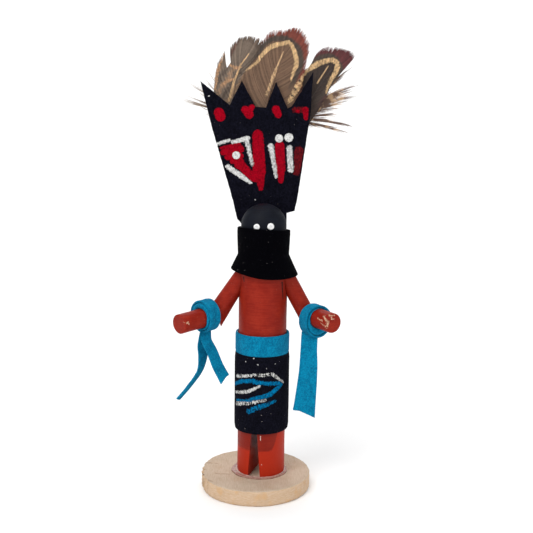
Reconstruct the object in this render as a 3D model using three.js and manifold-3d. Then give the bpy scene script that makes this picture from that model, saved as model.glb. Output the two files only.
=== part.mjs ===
// Kachina doll of a masked crown dancer: a painted dowel figure with jointed dowel arms, a suede kilt, belt,
// scarf and wrist sashes, and a cut suede crown with feathers behind it, standing on a sawn wood disc.
// Millimetres, +Z up. The figure faces -Y, and the origin is the middle of the disc's underside.
// Left and right are the figure's own sides, so its left is on +X. Heights are taken from the disc's top.

import * as THREE from 'three';
import Module from 'manifold-3d';
import { mergeVertices } from 'three/addons/utils/BufferGeometryUtils.js';

const wasm = await Module();
wasm.setup();

// Disc
const baseDiameter = 44.2;
const baseThickness = 6.3;
const baseEdge = 0.5;
const figureSideStep = 2.3; // the figure is glued this far beside the disc's middle

// Turned dowel: legs, trunk, neck and head in one piece
const dowelDiameter = 19;
const neckDiameter = 17;
const headDiameter = 17.7;
const neckHeight = 88.2;
const shoulderSlope = 8; // from the trunk's full width up to the neck
const trunkHeight = neckHeight - shoulderSlope;
const headWall = 11.1; // from the neck up to where the head starts to close
const domeHeight = neckHeight + headWall;
const domeRise = 8.5;
const footEdge = 0.4;

// Saw cut that parts the legs, wider at the feet and turned to the figure's right
const cutFootWidth = 5.1;
const cutTopWidth = 1.2;
const cutHeight = 26.7;
const cutTurn = THREE.MathUtils.degToRad(-17);

// Arms: an upper arm glued into a notch in the trunk, and a forearm mitred to it
const upperArmDiameter = 6.75;
const upperArmLength = 19.4;
const forearmDiameter = 7.5;
const forearmLength = 18.3;
const shoulderNotchDepth = 1.7;
const shoulderForward = 0.8;
const glueGap = 0.3;
const rightShoulderBelowNeck = 8.3;
const leftShoulderBelowNeck = 6.5;
const rightSashFromElbow = 4.8;
const leftSashFromElbow = 6.5;
const rightSashRise = 1; // of the loop's middle over the forearm's
const leftSashRise = -1;
const arms = {
  right: {
    side: -1, lean: 34.7, turnOut: 44, drop: 3.5,
    shoulderHeight: neckHeight - rightShoulderBelowNeck,
    sashFromElbow: rightSashFromElbow, sashRise: rightSashRise,
  },
  left: {
    side: 1, lean: 28.8, turnOut: 30, drop: 0,
    shoulderHeight: neckHeight - leftShoulderBelowNeck,
    sashFromElbow: leftSashFromElbow, sashRise: leftSashRise,
  },
};

// Suede dress
const suede = 0.85;
const wrapClearance = 0.15; // between the wood and the suede round it
const kiltHemHeight = 18.4;
const kiltLength = 31;
const beltWidth = 7.7;
const seamGap = 0.3;
const scarfAboveNeck = 10;
const scarfBelowNeck = 7.6;
const scarfTopTilt = 0.5;
const scarfHemTilt = 1.1;
const scarfHemLift = 0.7;
const scarfSideFlare = 2.8; // how far the hem stands out past the neck, or further where an arm is in the way
const scarfFrontFlare = 1.8;
const scarfSideSlack = 0.5; // how far it stands off the neck and the head at the sides
const scarfBend = 0.6; // how far up from its hem the flare bends in to the neck
const armClearance = 0.35;

// Sashes: a loop of suede round each forearm, with its ends hanging
const sashWidth = 5;
const sashLoopDiameter = 12;
const sashLoopSag = 0.7;
const rightFrontEndLength = 20.5;
const rightBackEndLength = 31;
const leftEndLength = 32;
const rightEndSlant = 0.9;
const leftEndSlant = 1.5;

// Crown: one flat piece of suede behind the head
const crownWidth = 43.9;
const crownHeight = 65;
const crownThickness = 1.1;
const crownAboveNeck = 5.2;
const crownFootHeight = neckHeight + crownAboveNeck;
const crownRightReach = 25.5; // from the figure's axis to its tip on the figure's right
const crownBehindScarf = 0.3;

// Feathers, each a layer further behind the crown
const featherThickness = 0.6;
const featherEdge = 0.3;
const shaftDiameter = 0.9;
const layerGap = 0.3;
const featherCup = 0.5;
const clumpNotch = 0.16;
const clumpSweep = 2.2;
const quillWidening = 0.6; // how fast a vane widens from the quill; less is faster
const tipBluntness = 2.5;
const ribShare = 0.06; // of a vane's width, beside the shaft
const plumeNotch = 0.55; // how far out the gaps between a plume's spikes start

const facets = 48;
const rodFacets = 24;
const loopFacets = 32;
const stripSteps = 4; // between two points of a hanging strip
const trunkRadius = dowelDiameter / 2;
const notchFace = trunkRadius - shoulderNotchDepth;
const headRadius = headDiameter / 2;
const neckRadius = neckDiameter / 2;
const crownFront = headRadius + wrapClearance + suede + crownBehindScarf;
const crownBack = crownFront + crownThickness;
const spare = dowelDiameter; // extra length on rods that are cut to a plane afterwards

const paint = {
  wood: ['#d9bd9c', 0.8],
  terracotta: ['#8a2a1b', 0.6],
  blackSuede: ['#0d0d16', 0.95],
  turquoiseSuede: ['#0a84b4', 0.9],
  feather: ['#86705a', 0.8],
};
const doll = new THREE.Group();
const figure = new THREE.Group();
figure.position.set(figureSideStep, 0, baseThickness);
doll.add(figure);
const headdress = new THREE.Group();
headdress.position.set(0, 0, crownFootHeight);
figure.add(headdress);

function place(group, name, geometry, finish) {
  const [color, roughness] = paint[finish];
  const mesh = new THREE.Mesh(geometry, new THREE.MeshStandardMaterial({ color, roughness, metalness: 0 }));
  mesh.name = name;
  group.add(mesh);
}

// Solids for cutting and joining

function solid(geometry) {
  const bare = geometry.clone();
  bare.deleteAttribute('normal');
  bare.deleteAttribute('uv');
  const merged = mergeVertices(bare, 1e-4);
  return new wasm.Manifold(new wasm.Mesh({
    numProp: 3,
    vertProperties: new Float32Array(merged.attributes.position.array),
    triVerts: new Uint32Array(merged.index.array),
  }));
}

function shapeOf(body) {
  const mesh = body.getMesh();
  const geometry = new THREE.BufferGeometry();
  geometry.setAttribute('position', new THREE.BufferAttribute(mesh.vertProperties, 3));
  geometry.setIndex(new THREE.BufferAttribute(mesh.triVerts, 1));
  geometry.computeVertexNormals();
  return geometry;
}

// Takes away all that lies ahead of a plane
function cutAhead(body, point, normal) {
  const reach = baseDiameter * 2;
  const block = new THREE.BoxGeometry(reach, reach, reach).translate(0, 0, reach / 2);
  const turn = new THREE.Quaternion().setFromUnitVectors(new THREE.Vector3(0, 0, 1), normal);
  return body.subtract(solid(block.applyQuaternion(turn).translate(point.x, point.y, point.z)));
}

// Sections of equal count joined in order, with flat ends, or joined end to start
function loft(sections, closed) {
  const count = sections[0].length;
  const positions = sections.flat().flatMap((point) => [point.x, point.y, point.z]);
  const index = [];
  const spans = closed ? sections.length : sections.length - 1;
  for (let row = 0; row < spans; row += 1) {
    const next = (row + 1) % sections.length;
    for (let col = 0; col < count; col += 1) {
      const side = (col + 1) % count;
      const [a, b] = [row * count + col, row * count + side];
      const [c, d] = [next * count + side, next * count + col];
      index.push(a, b, c, a, c, d);
    }
  }
  if (!closed) {
    const last = (sections.length - 1) * count;
    for (let col = 1; col < count - 1; col += 1) {
      index.push(0, col + 1, col);
      index.push(last, last + col, last + col + 1);
    }
  }
  const geometry = new THREE.BufferGeometry();
  geometry.setAttribute('position', new THREE.Float32BufferAttribute(positions, 3));
  geometry.setIndex(index);
  geometry.computeVertexNormals();
  return geometry;
}

// A wrap of suede round the figure: wall(angle) gives its lower to upper [radius, height] stations
function wrap(wall) {
  const sections = [];
  for (let step = 0; step < facets; step += 1) {
    const angle = (2 * Math.PI * step) / facets;
    const stations = wall(angle);
    const outside = stations.map(([radius, height]) => [radius + suede, height]).reverse();
    sections.push([...stations, ...outside].map(([radius, height]) => new THREE.Vector3(
      radius * Math.cos(angle), radius * Math.sin(angle), height)));
  }
  return loft(sections, true);
}

// An upright plate facing forward, with its back at a depth
function flatPlate(outline, thickness, back) {
  const plate = new THREE.ExtrudeGeometry(outline, { depth: thickness, bevelEnabled: false });
  return plate.rotateX(Math.PI / 2).translate(0, back, 0);
}

function lathe(profile) {
  const points = profile.map(([radius, height]) => new THREE.Vector2(radius, height));
  return new THREE.LatheGeometry(points, facets).rotateX(Math.PI / 2);
}

// Disc

function makeBase() {
  const radius = baseDiameter / 2;
  place(doll, 'base', lathe([
    [0, 0],
    [radius - baseEdge, 0],
    [radius, baseEdge],
    [radius, baseThickness - baseEdge],
    [radius - baseEdge, baseThickness],
    [0, baseThickness],
  ]), 'wood');
}

// Dowel figure

function bodyProfile() {
  const profile = [
    [0, 0],
    [trunkRadius - footEdge, 0],
    [trunkRadius, footEdge],
    [trunkRadius, trunkHeight],
    [neckRadius, neckHeight],
    [headRadius, domeHeight],
  ];
  const domeSteps = 9;
  for (let step = 1; step < domeSteps; step += 1) {
    const turn = (step / domeSteps) * (Math.PI / 2);
    profile.push([headRadius * Math.cos(turn), domeHeight + domeRise * Math.sin(turn)]);
  }
  profile.push([0, domeHeight + domeRise]);
  return profile;
}

function legCut() {
  const below = 1;
  const slope = (cutFootWidth - cutTopWidth) / cutHeight;
  const foot = (cutFootWidth + slope * below) / 2;
  const outline = new THREE.Shape([
    new THREE.Vector2(-foot, -below),
    new THREE.Vector2(foot, -below),
    new THREE.Vector2(cutTopWidth / 2, cutHeight),
    new THREE.Vector2(-cutTopWidth / 2, cutHeight),
  ]);
  const depth = 2 * dowelDiameter;
  const wedge = new THREE.ExtrudeGeometry(outline, { depth, bevelEnabled: false });
  return wedge.translate(0, 0, -depth / 2).rotateX(Math.PI / 2).rotateZ(cutTurn);
}

function makeBody() {
  let body = solid(lathe(bodyProfile())).subtract(solid(legCut()));
  for (const arm of Object.values(arms)) {
    body = body.subtract(shoulderEnd(arm, upperArmDiameter + 2 * glueGap, 0));
  }
  place(figure, 'body', shapeOf(body), 'terracotta');
}

// Arms

function armLine({ side, shoulderHeight, lean, turnOut, drop }) {
  const [leanBy, outBy, dropBy] = [lean, turnOut, drop].map(THREE.MathUtils.degToRad);
  const down = new THREE.Vector3(side * Math.sin(leanBy), 0, -Math.cos(leanBy));
  const forward = new THREE.Vector3(side * Math.sin(outBy) * Math.cos(dropBy),
    -Math.cos(outBy) * Math.cos(dropBy), -Math.sin(dropBy));
  const shoulder = new THREE.Vector3(side * notchFace, -shoulderForward, shoulderHeight);
  const elbow = shoulder.clone().addScaledVector(down, upperArmLength);
  const hand = elbow.clone().addScaledVector(forward, forearmLength);
  return { shoulder, elbow, hand, down, forward };
}

function rod(start, end, diameter) {
  const bar = new THREE.CylinderGeometry(diameter / 2, diameter / 2, start.distanceTo(end), rodFacets);
  const turn = new THREE.Quaternion().setFromUnitVectors(
    new THREE.Vector3(0, 1, 0), end.clone().sub(start).normalize());
  const middle = start.clone().add(end).multiplyScalar(0.5);
  return solid(bar.applyQuaternion(turn).translate(middle.x, middle.y, middle.z));
}

// An upper arm's rod, longer than it needs at the elbow and cut upright at the shoulder
function shoulderEnd(arm, diameter, gap) {
  const { shoulder, elbow, down } = armLine(arm);
  const inward = new THREE.Vector3(-arm.side, 0, 0);
  const bar = rod(shoulder.clone().addScaledVector(down, -spare),
    elbow.clone().addScaledVector(down, spare), diameter);
  return cutAhead(bar, shoulder.clone().addScaledVector(inward, -gap), inward);
}

function makeArm(name, arm) {
  const { elbow, hand, down, forward } = armLine(arm);
  const mitre = down.clone().add(forward).normalize();
  const upper = cutAhead(shoulderEnd(arm, upperArmDiameter, glueGap),
    elbow.clone().addScaledVector(mitre, -glueGap / 2), mitre);
  place(figure, `${name}_upper_arm`, shapeOf(upper), 'terracotta');

  let lower = rod(elbow.clone().addScaledVector(forward, -spare), hand, forearmDiameter);
  const back = mitre.clone().negate();
  lower = cutAhead(lower, elbow.clone().addScaledVector(mitre, glueGap / 2), back);
  place(figure, `${name}_forearm`, shapeOf(lower), 'terracotta');
}

// Kilt, belt and scarf

function makeKiltAndBelt() {
  const inside = trunkRadius + wrapClearance;
  const kiltTop = kiltHemHeight + kiltLength;
  const beltFoot = kiltTop + seamGap;
  place(figure, 'kilt', wrap(() => [[inside, kiltHemHeight], [inside, kiltTop]]), 'blackSuede');
  place(figure, 'belt', wrap(() => [[inside, beltFoot], [inside, beltFoot + beltWidth]]), 'turquoiseSuede');
}

// How far out the top of an upper arm is at a height
function armReach({ shoulderHeight, lean }, height) {
  const leanBy = THREE.MathUtils.degToRad(lean);
  const top = shoulderHeight + upperArmDiameter / 2 / Math.sin(leanBy);
  return notchFace + (top - height) * Math.tan(leanBy);
}

// The scarf narrows to the neck and flares over the arms, more than over the chest and back
function scarfWall(angle) {
  const slack = scarfSideSlack * Math.cos(angle) ** 2;
  const waist = neckRadius + wrapClearance + slack;
  const slope = scarfHemLift * Math.cos(2 * angle) - scarfHemTilt * Math.cos(angle);
  const hem = neckHeight - scarfBelowNeck + slope;
  const arm = Math.cos(angle) > 0 ? arms.left : arms.right;
  const overArm = Math.max(waist + scarfSideFlare, armReach(arm, hem) + armClearance);
  const hemRadius = THREE.MathUtils.lerp(waist + scarfFrontFlare, overArm, Math.cos(angle) ** 2);
  const top = neckHeight + scarfAboveNeck - scarfTopTilt * (Math.cos(angle) + Math.sin(angle));
  const { lerp } = THREE.MathUtils;
  return [
    [hemRadius, hem],
    [lerp(hemRadius, waist, scarfBend), lerp(hem, neckHeight, scarfBend)],
    [waist, neckHeight],
    [headRadius + wrapClearance + slack, top],
  ];
}

// Sashes

// A strip of suede along points, each [place, across, width]; across is the way its width runs,
// and slant is how far one corner of its cut end runs past the middle
function strip(points, slant) {
  const curve = new THREE.CatmullRomCurve3(points.map(([spot]) => spot));
  const steps = (points.length - 1) * stripSteps;
  const sections = [];
  for (let step = 0; step <= steps; step += 1) {
    const share = step / steps;
    const along = curve.getTangent(share);
    const from = Math.min(Math.floor(share * (points.length - 1)), points.length - 2);
    const mix = share * (points.length - 1) - from;
    const across = points[from][1].clone().lerp(points[from + 1][1], mix);
    across.addScaledVector(along, -across.dot(along)).normalize();
    const face = new THREE.Vector3().crossVectors(along, across).multiplyScalar(suede / 2);
    const half = THREE.MathUtils.lerp(points[from][2], points[from + 1][2], mix) / 2;
    const middle = curve.getPoint(share);
    const past = step === steps ? slant : 0;
    sections.push([[-1, -1], [1, -1], [1, 1], [-1, 1]].map(([wide, deep]) => middle.clone()
      .addScaledVector(across, wide * half).addScaledVector(face, deep).addScaledVector(along, wide * past)));
  }
  return solid(loft(sections, false));
}

function sashMiddle({ elbow, forward }, { sashFromElbow, sashRise }) {
  const middle = elbow.clone().addScaledVector(forward, sashFromElbow);
  middle.z += sashRise;
  return middle;
}

function sashLoop(line, arm) {
  const { forward } = line;
  const middle = sashMiddle(line, arm);
  const aside = new THREE.Vector3().crossVectors(forward, new THREE.Vector3(0, 0, 1)).normalize();
  const up = new THREE.Vector3().crossVectors(aside, forward);
  const inner = sashLoopDiameter / 2 - suede;
  const sections = [];
  for (let step = 0; step < loopFacets; step += 1) {
    const angle = (2 * Math.PI * step) / loopFacets;
    const sag = sashLoopSag * Math.max(0, -Math.sin(angle)) ** 2;
    const spoke = aside.clone().multiplyScalar(Math.cos(angle)).addScaledVector(up, Math.sin(angle));
    sections.push([[0, 1], [0, -1], [1, -1], [1, 1]].map(([out, along]) => middle.clone()
      .addScaledVector(spoke, inner + sag + out * suede).addScaledVector(forward, along * sashWidth / 2)));
  }
  return solid(loft(sections, true));
}

// Each hanging end starts in the foot of the loop. drift, reach and fall are from there along it, in shares
// of its length: sideways outwards, forwards, and down. Its width there is a share of the sash's
function sashEnd(line, arm, end) {
  const foot = sashMiddle(line, arm);
  foot.z -= (sashLoopDiameter - suede) / 2 + sashLoopSag;
  const facing = new THREE.Vector3(arm.side, 0, 0);
  const points = end.course.map(([drift, reach, fall, turn, width]) => {
    const shift = new THREE.Vector3(arm.side * drift, -reach, -fall);
    const spot = foot.clone().addScaledVector(shift, end.length);
    const across = line.forward.clone().setZ(0).normalize().lerp(facing, turn).normalize();
    return [spot, across, width * sashWidth];
  });
  return strip(points, end.slant);
}

const sashEnds = {
  right: [
    {
      length: rightFrontEndLength,
      slant: rightEndSlant,
      course: [
        [0, 0, 0, 0, 1],
        [-0.03, 0.1, 0.175, 0.05, 0.96],
        [-0.135, 0.13, 0.385, 0.1, 0.96],
        [-0.24, 0.15, 0.65, 0.1, 1],
        [-0.375, 0.17, 0.9, 0.15, 1.04],
      ],
    },
    {
      length: rightBackEndLength,
      slant: 0,
      course: [
        [0, 0, 0, 0, 1],
        [0.04, -0.05, 0.2, 0.1, 0.92],
        [0.04, -0.06, 0.37, 0.1, 0.84],
        [0.085, -0.06, 0.555, -0.25, 0.64],
        [0.23, -0.05, 0.77, -0.35, 0.64],
        [0.35, -0.04, 0.916, -0.35, 0.64],
      ],
    },
  ],
  left: [
    {
      length: leftEndLength,
      slant: leftEndSlant,
      course: [
        [-0.035, 0, 0, 0.3, 1.28],
        [-0.07, 0.08, 0.17, 0.75, 1.28],
        [-0.08, 0.1, 0.45, 0.9, 1.44],
        [-0.12, 0.1, 0.94, 0.95, 1.76],
      ],
    },
  ],
};

function makeSash(name, arm) {
  const line = armLine(arm);
  let sash = sashLoop(line, arm);
  for (const end of sashEnds[name]) {
    sash = sash.add(sashEnd(line, arm, end));
  }
  place(figure, `${name}_sash`, shapeOf(sash), 'turquoiseSuede');
}

// Crown: its outline in shares of its width and height, from its foot up the figure's right side and over
const crownOutline = [
  [0.41, 0], [0.371, 0.085], [0.337, 0.111], [0.296, 0.226], [0.102, 0.668], [0, 0.937], [0.262, 0.798],
  [0.369, 0.943], [0.492, 0.789], [0.585, 0.785], [0.672, 0.938], [0.777, 0.782], [0.815, 0.795],
  [1, 1], [0.982, 0.751], [0.879, 0.237], [0.857, 0.165], [0.786, 0.152], [0.786, 0.085], [0.752, 0],
];

function makeCrown() {
  const points = crownOutline.map(([across, up]) => new THREE.Vector2(
    across * crownWidth - crownRightReach, up * crownHeight));
  place(headdress, 'crown', flatPlate(new THREE.Shape(points), crownThickness, crownBack), 'blackSuede');
}

// Feathers: root, bend and tip are points that the shaft runs by, sideways and up, and vanes are the widths
// on its two sides, all in shares of the crown's height
const feathers = {
  centre_feather: {
    layer: 0, root: [-0.046, 0.431], bend: [-0.031, 0.831], tip: [0.177, 1.254], vanes: [0.185, 0.154],
    widest: 0.62, clumps: 9,
  },
  left_feather: {
    layer: 1, root: [0.046, 0.446], bend: [0.2, 0.785], tip: [0.471, 1.135], vanes: [0.115, 0.115],
    widest: 0.88, clumps: 8,
  },
  right_feather: {
    layer: 2, root: [-0.185, 0.385], bend: [-0.277, 0.785], tip: [-0.092, 1.215], vanes: [0.123, 0.123],
    widest: 0.75, clumps: 9,
  },
};

// A vane's width, as a share, from the bare quill to the blunt tip
function vaneShare(share, widest) {
  const rise = Math.min(1, share / widest) ** quillWidening;
  const past = Math.max(0, share - widest) / (1 - widest);
  return rise * Math.sqrt(1 - past ** tipBluntness);
}

function layerDepth(layer) {
  const pitch = featherThickness + featherCup + layerGap;
  return crownBack + layerGap + shaftDiameter / 2 + layer * pitch;
}

function featherSections({ layer, root, bend, tip, vanes, widest, clumps }) {
  const course = [root, bend, tip].map((spot) => new THREE.Vector2(...spot).multiplyScalar(crownHeight));
  const shaft = new THREE.QuadraticBezierCurve(...course);
  const steps = clumps * 2;
  const depth = layerDepth(layer);
  const sections = [];
  for (let step = 0; step <= steps; step += 1) {
    const share = step / steps;
    const middle = shaft.getPoint(share);
    const along = shaft.getTangent(share);
    const notch = step % 2 ? 0 : clumpNotch;
    const spread = (side, out) => {
      const vane = vanes[side < 0 ? 0 : 1] * crownHeight * vaneShare(share, widest) * (1 - notch);
      const width = Math.max(shaftDiameter, vane);
      const reach = side * out * width;
      const sweep = clumpSweep * out * out * (1 - share) + (notch ? 0 : clumpNotch * width * out);
      return [middle.x + along.y * reach + along.x * sweep, middle.y - along.x * reach + along.y * sweep];
    };
    const lay = (side, out, thick) => {
      const [x, z] = spread(side, out);
      return new THREE.Vector3(x, depth + featherCup * out * out + thick, z);
    };
    const [edge, web, rib] = [featherEdge / 2, featherThickness / 2, shaftDiameter / 2];
    sections.push([
      lay(-1, 1, -edge), lay(-1, 0.5, -web), lay(-1, ribShare, -rib),
      lay(1, ribShare, -rib), lay(1, 0.5, -web), lay(1, 1, -edge),
      lay(1, 1, edge), lay(1, 0.5, web), lay(-1, 0.5, web), lay(-1, 1, edge),
    ]);
  }
  return sections;
}

// Plumes: loose barbs that fan out past the crown's sides, as spikes from one root, whose place, length and
// width are shares of the crown's height
const plumes = {
  left_plume: { layer: 3, root: [0.123, 0.723], length: 0.477, spikes: [-4, 5, 18, 27, 38], width: 0.123 },
  right_plume: { layer: 3, root: [-0.123, 0.708], length: 0.4, spikes: [167, 157, 147], width: 0.108 },
};

function plumeOutline({ root, length, spikes, width }) {
  const side = Math.sign(Math.cos(THREE.MathUtils.degToRad(spikes[0])));
  const at = (degrees, reach) => {
    const turn = THREE.MathUtils.degToRad(degrees);
    const spot = new THREE.Vector2(root[0] + reach * Math.cos(turn), root[1] + reach * Math.sin(turn));
    return spot.multiplyScalar(crownHeight);
  };
  const outline = [at(spikes[0] - 90 * side, width / 2)];
  spikes.forEach((degrees, spike) => {
    outline.push(at(degrees, length));
    const next = spikes[spike + 1];
    if (next !== undefined) {
      outline.push(at((degrees + next) / 2, length * plumeNotch));
    }
  });
  outline.push(at(spikes[spikes.length - 1] + 90 * side, width / 2));
  return new THREE.Shape(outline);
}

function makeFeathers() {
  for (const [name, feather] of Object.entries(feathers)) {
    place(headdress, name, loft(featherSections(feather), false), 'feather');
  }
  for (const [name, plume] of Object.entries(plumes)) {
    const fan = flatPlate(plumeOutline(plume), featherThickness, layerDepth(plume.layer));
    place(headdress, name, fan, 'feather');
  }
}

makeBase();
makeBody();
for (const [name, arm] of Object.entries(arms)) {
  makeArm(name, arm);
  makeSash(name, arm);
}
makeKiltAndBelt();
place(figure, 'scarf', wrap(scarfWall), 'blackSuede');
makeCrown();
makeFeathers();

export default doll;
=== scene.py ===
import math
import random

import bmesh
import bpy
from mathutils import Matrix, Vector, noise


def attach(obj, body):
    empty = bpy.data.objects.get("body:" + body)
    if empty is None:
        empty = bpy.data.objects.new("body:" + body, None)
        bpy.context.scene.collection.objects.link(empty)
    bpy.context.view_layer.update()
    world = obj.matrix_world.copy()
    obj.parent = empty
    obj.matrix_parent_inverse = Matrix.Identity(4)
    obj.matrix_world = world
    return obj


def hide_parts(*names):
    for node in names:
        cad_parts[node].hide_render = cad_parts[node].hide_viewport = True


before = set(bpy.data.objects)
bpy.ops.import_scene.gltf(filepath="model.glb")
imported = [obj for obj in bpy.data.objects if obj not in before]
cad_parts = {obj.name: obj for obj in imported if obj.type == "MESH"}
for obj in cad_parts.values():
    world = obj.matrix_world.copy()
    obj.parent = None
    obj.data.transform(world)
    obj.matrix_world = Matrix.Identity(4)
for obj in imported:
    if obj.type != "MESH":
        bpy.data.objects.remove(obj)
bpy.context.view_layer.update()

mm = 0.001
figureX = 2.3   # the figure stands this far beside the disc's middle
discTop = 6.3   # heights of the figure are taken from here in the doll's own measures

# mesh helpers


def turnsOf(count):
    return [2 * math.pi * step / count for step in range(count)]


def sharesOf(count):
    return [step / count for step in range(count + 1)]


def wobble(x, y, z, size, seed=0.0):
    # smooth noise from -1 to 1, with bumps about this many millimetres across
    return noise.noise(Vector((x / size + seed, y / size - seed, z / size + 2 * seed)))


def skinOver(rows, closed=False, capped=True):
    # faces over rings of points; the end rings are capped, unless the last ring meets the first
    count, around = len(rows), len(rows[0])
    faces = []
    for row in range(count if closed else count - 1):
        here, below = row * around, (row + 1) % count * around
        for column in range(around):
            side = (column + 1) % around
            faces.append((here + column, here + side, below + side, below + column))
    if capped and not closed:
        faces += [tuple(range(around)), tuple(range((count - 1) * around, count * around))]
    return [tuple(spot) for row in rows for spot in row], faces


def joined(parts):
    points, faces = [], []
    for more, moreFaces in parts:
        start = len(points)
        points += more
        faces += [tuple(index + start for index in face) for face in moreFaces]
    return points, faces


def objectFrom(name, points, faces, mat):
    mesh = bpy.data.meshes.new(name)
    mesh.from_pydata(points, [], faces)
    mesh.update()
    for poly in mesh.polygons:
        poly.use_smooth = True
    mesh.materials.append(mat)
    made = bpy.data.objects.new(name, mesh)
    bpy.context.scene.collection.objects.link(made)
    return made


def pieceFrom(name, points, faces, slotName, mat, replaces=(), beside=figureX, solid=True):
    # points are in millimetres from an axis that stands beside the disc's middle
    piece = objectFrom(name, [((x + beside) * mm, y * mm, z * mm) for x, y, z in points], faces, mat)
    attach(piece, "root")
    if replaces:
        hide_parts(*replaces)
    if solid:
        shape = bmesh.new()
        shape.from_mesh(piece.data)
        bmesh.ops.recalc_face_normals(shape, faces=shape.faces)
        shape.to_mesh(piece.data)
        shape.free()
    return piece


def softenEdges(piece, width, turn=55):
    soften = piece.modifiers.new("softEdges", "BEVEL")
    soften.width, soften.segments = width * mm, 2
    soften.limit_method, soften.angle_limit = "ANGLE", math.radians(turn)


# shader helpers


class Nodes:
    # short ways to add nodes to one tree; a value is a number, a colour, a place or another node's socket

    def __init__(self, tree):
        self.tree = tree

    def feed(self, socket, value):
        if isinstance(value, bpy.types.NodeSocket):
            self.tree.links.new(value, socket)
        elif socket.type == "RGBA":
            socket.default_value = (*value, 1.0)
        elif socket.type == "VECTOR":
            socket.default_value = (*value, 0.0)[:3]
        else:
            socket.default_value = value

    def add(self, kind, values=(), **settings):
        made = self.tree.nodes.new("ShaderNode" + kind)
        for key, value in settings.items():
            setattr(made, key, value)
        for key, value in dict(values).items():
            self.feed(made.inputs[key], value)
        return made

    def math(self, operation, *terms, clamp=False):
        return self.add("Math", enumerate(terms), operation=operation, use_clamp=clamp).outputs[0]

    def plus(self, first, second, clamp=False):
        return self.math("ADD", first, second, clamp=clamp)

    def minus(self, first, second):
        return self.math("SUBTRACT", first, second)

    def times(self, first, second, clamp=False):
        return self.math("MULTIPLY", first, second, clamp=clamp)

    def timesPlus(self, first, second, third):
        return self.math("MULTIPLY_ADD", first, second, third)

    def mix(self, share, first, second):
        return self.add("Mix", {0: share, 6: first, 7: second}, data_type="RGBA").outputs[2]

    def ramp(self, value, low, high, toLow=0.0, toHigh=1.0):
        ends = {"Value": value, "From Min": low, "From Max": high, "To Min": toLow, "To Max": toHigh}
        return self.add("MapRange", ends, interpolation_type="SMOOTHSTEP").outputs["Result"]

    def noise(self, spot, scale, detail=2.0, roughness=0.5, distortion=0.0):
        return self.add("TexNoise", {"Vector": spot, "Scale": scale, "Detail": detail, "Roughness": roughness,
                                     "Distortion": distortion}).outputs["Fac"]

    def mapped(self, spot, scale=(1, 1, 1), rotation=(0, 0, 0), location=(0, 0, 0)):
        return self.add("Mapping", {"Vector": spot, "Scale": scale, "Rotation": rotation,
                                    "Location": location}).outputs[0]

    def parts(self, spot):
        return self.add("SeparateXYZ", {0: spot}).outputs

    def flat(self, parts, across=None):
        # the spot as it is seen from the front, X across and Y up
        return self.add("CombineXYZ", {"X": across or parts[0], "Y": parts[2]}).outputs[0]

    def scaled(self, vector, scale):
        return self.add("VectorMath", {0: vector, "Scale": scale}, operation="SCALE").outputs[0]

    def vector(self, operation, first, second):
        made = self.add("VectorMath", {0: first, 1: second}, operation=operation)
        return made.outputs["Value" if operation in ("DOT_PRODUCT", "DISTANCE") else "Vector"]

    def fromLine(self, spot, start, end):
        # how far a spot is from the line between two ends, and how far along that line it lies
        along, off = self.vector("SUBTRACT", end, start), self.vector("SUBTRACT", spot, start)
        share = self.math("DIVIDE", self.vector("DOT_PRODUCT", off, along),
                          self.vector("DOT_PRODUCT", along, along), clamp=True)
        return self.vector("DISTANCE", off, self.scaled(along, share)), share

    def group(self, group, values):
        return self.add("Group", values, node_tree=group).outputs

    def millimetres(self):
        # the spot on the piece, in millimetres beside the figure's axis
        return self.mapped(self.add("TexCoord").outputs["Object"], (1 / mm,) * 3, location=(-figureX, 0, 0))

    def strokes(self, spot, hair, strokes):
        # the most of several strokes; each is (start, end, width, end width, ragged, dryness)
        mask = None
        for stroke in strokes:
            labels = ("Start", "End", "Width", "End Width", "Ragged", "Dryness")
            made = self.group(brushStroke, {"Spot": spot, "Shake": hair["Shake"], "Gaps": hair["Gaps"],
                                            **dict(zip(labels, stroke))})["Mask"]
            mask = self.math("MAXIMUM", mask, made) if mask else made
        return mask

    def finish(self, colour, height, distance, strength=1.0, roughness=None):
        self.feed(self.shader.inputs["Base Color"], colour)
        if roughness:
            self.feed(self.shader.inputs["Roughness"], roughness)
        bump = self.add("Bump", {"Height": height, "Distance": distance * mm, "Strength": strength})
        self.feed(self.shader.inputs["Normal"], bump.outputs[0])
        return self.mat


def startMaterial(name, roughness, sheen=0.0, specular=0.5, sheenTint=None):
    mat = bpy.data.materials.new(name)
    mat.use_nodes = True
    n = Nodes(mat.node_tree)
    n.mat, n.shader = mat, mat.node_tree.nodes["Principled BSDF"]
    for label, value in {"Roughness": roughness, "Specular IOR Level": specular, "Sheen Weight": sheen,
                         "Sheen Roughness": 0.55}.items():
        n.feed(n.shader.inputs[label], value)
    if sheenTint:
        n.feed(n.shader.inputs["Sheen Tint"], sheenTint)
    return n


def shaderGroup(name, inputs, build):
    # an input is given by its starting number, or by its kind
    group = bpy.data.node_groups.new(name, "ShaderNodeTree")
    for label, start in inputs.items():
        kind = start if isinstance(start, str) else "Float"
        socket = group.interface.new_socket(label, in_out="INPUT", socket_type="NodeSocket" + kind)
        if kind == "Float":
            socket.default_value = start
    n = Nodes(group)
    made = build(n, group.nodes.new("NodeGroupInput").outputs)
    for label, value in made.items():
        kind = "Color" if value.type == "RGBA" else "Float"
        group.interface.new_socket(label, in_out="OUTPUT", socket_type="NodeSocket" + kind)
    out = group.nodes.new("NodeGroupOutput")
    for label, value in made.items():
        n.feed(out.inputs[label], value)
    return group


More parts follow.
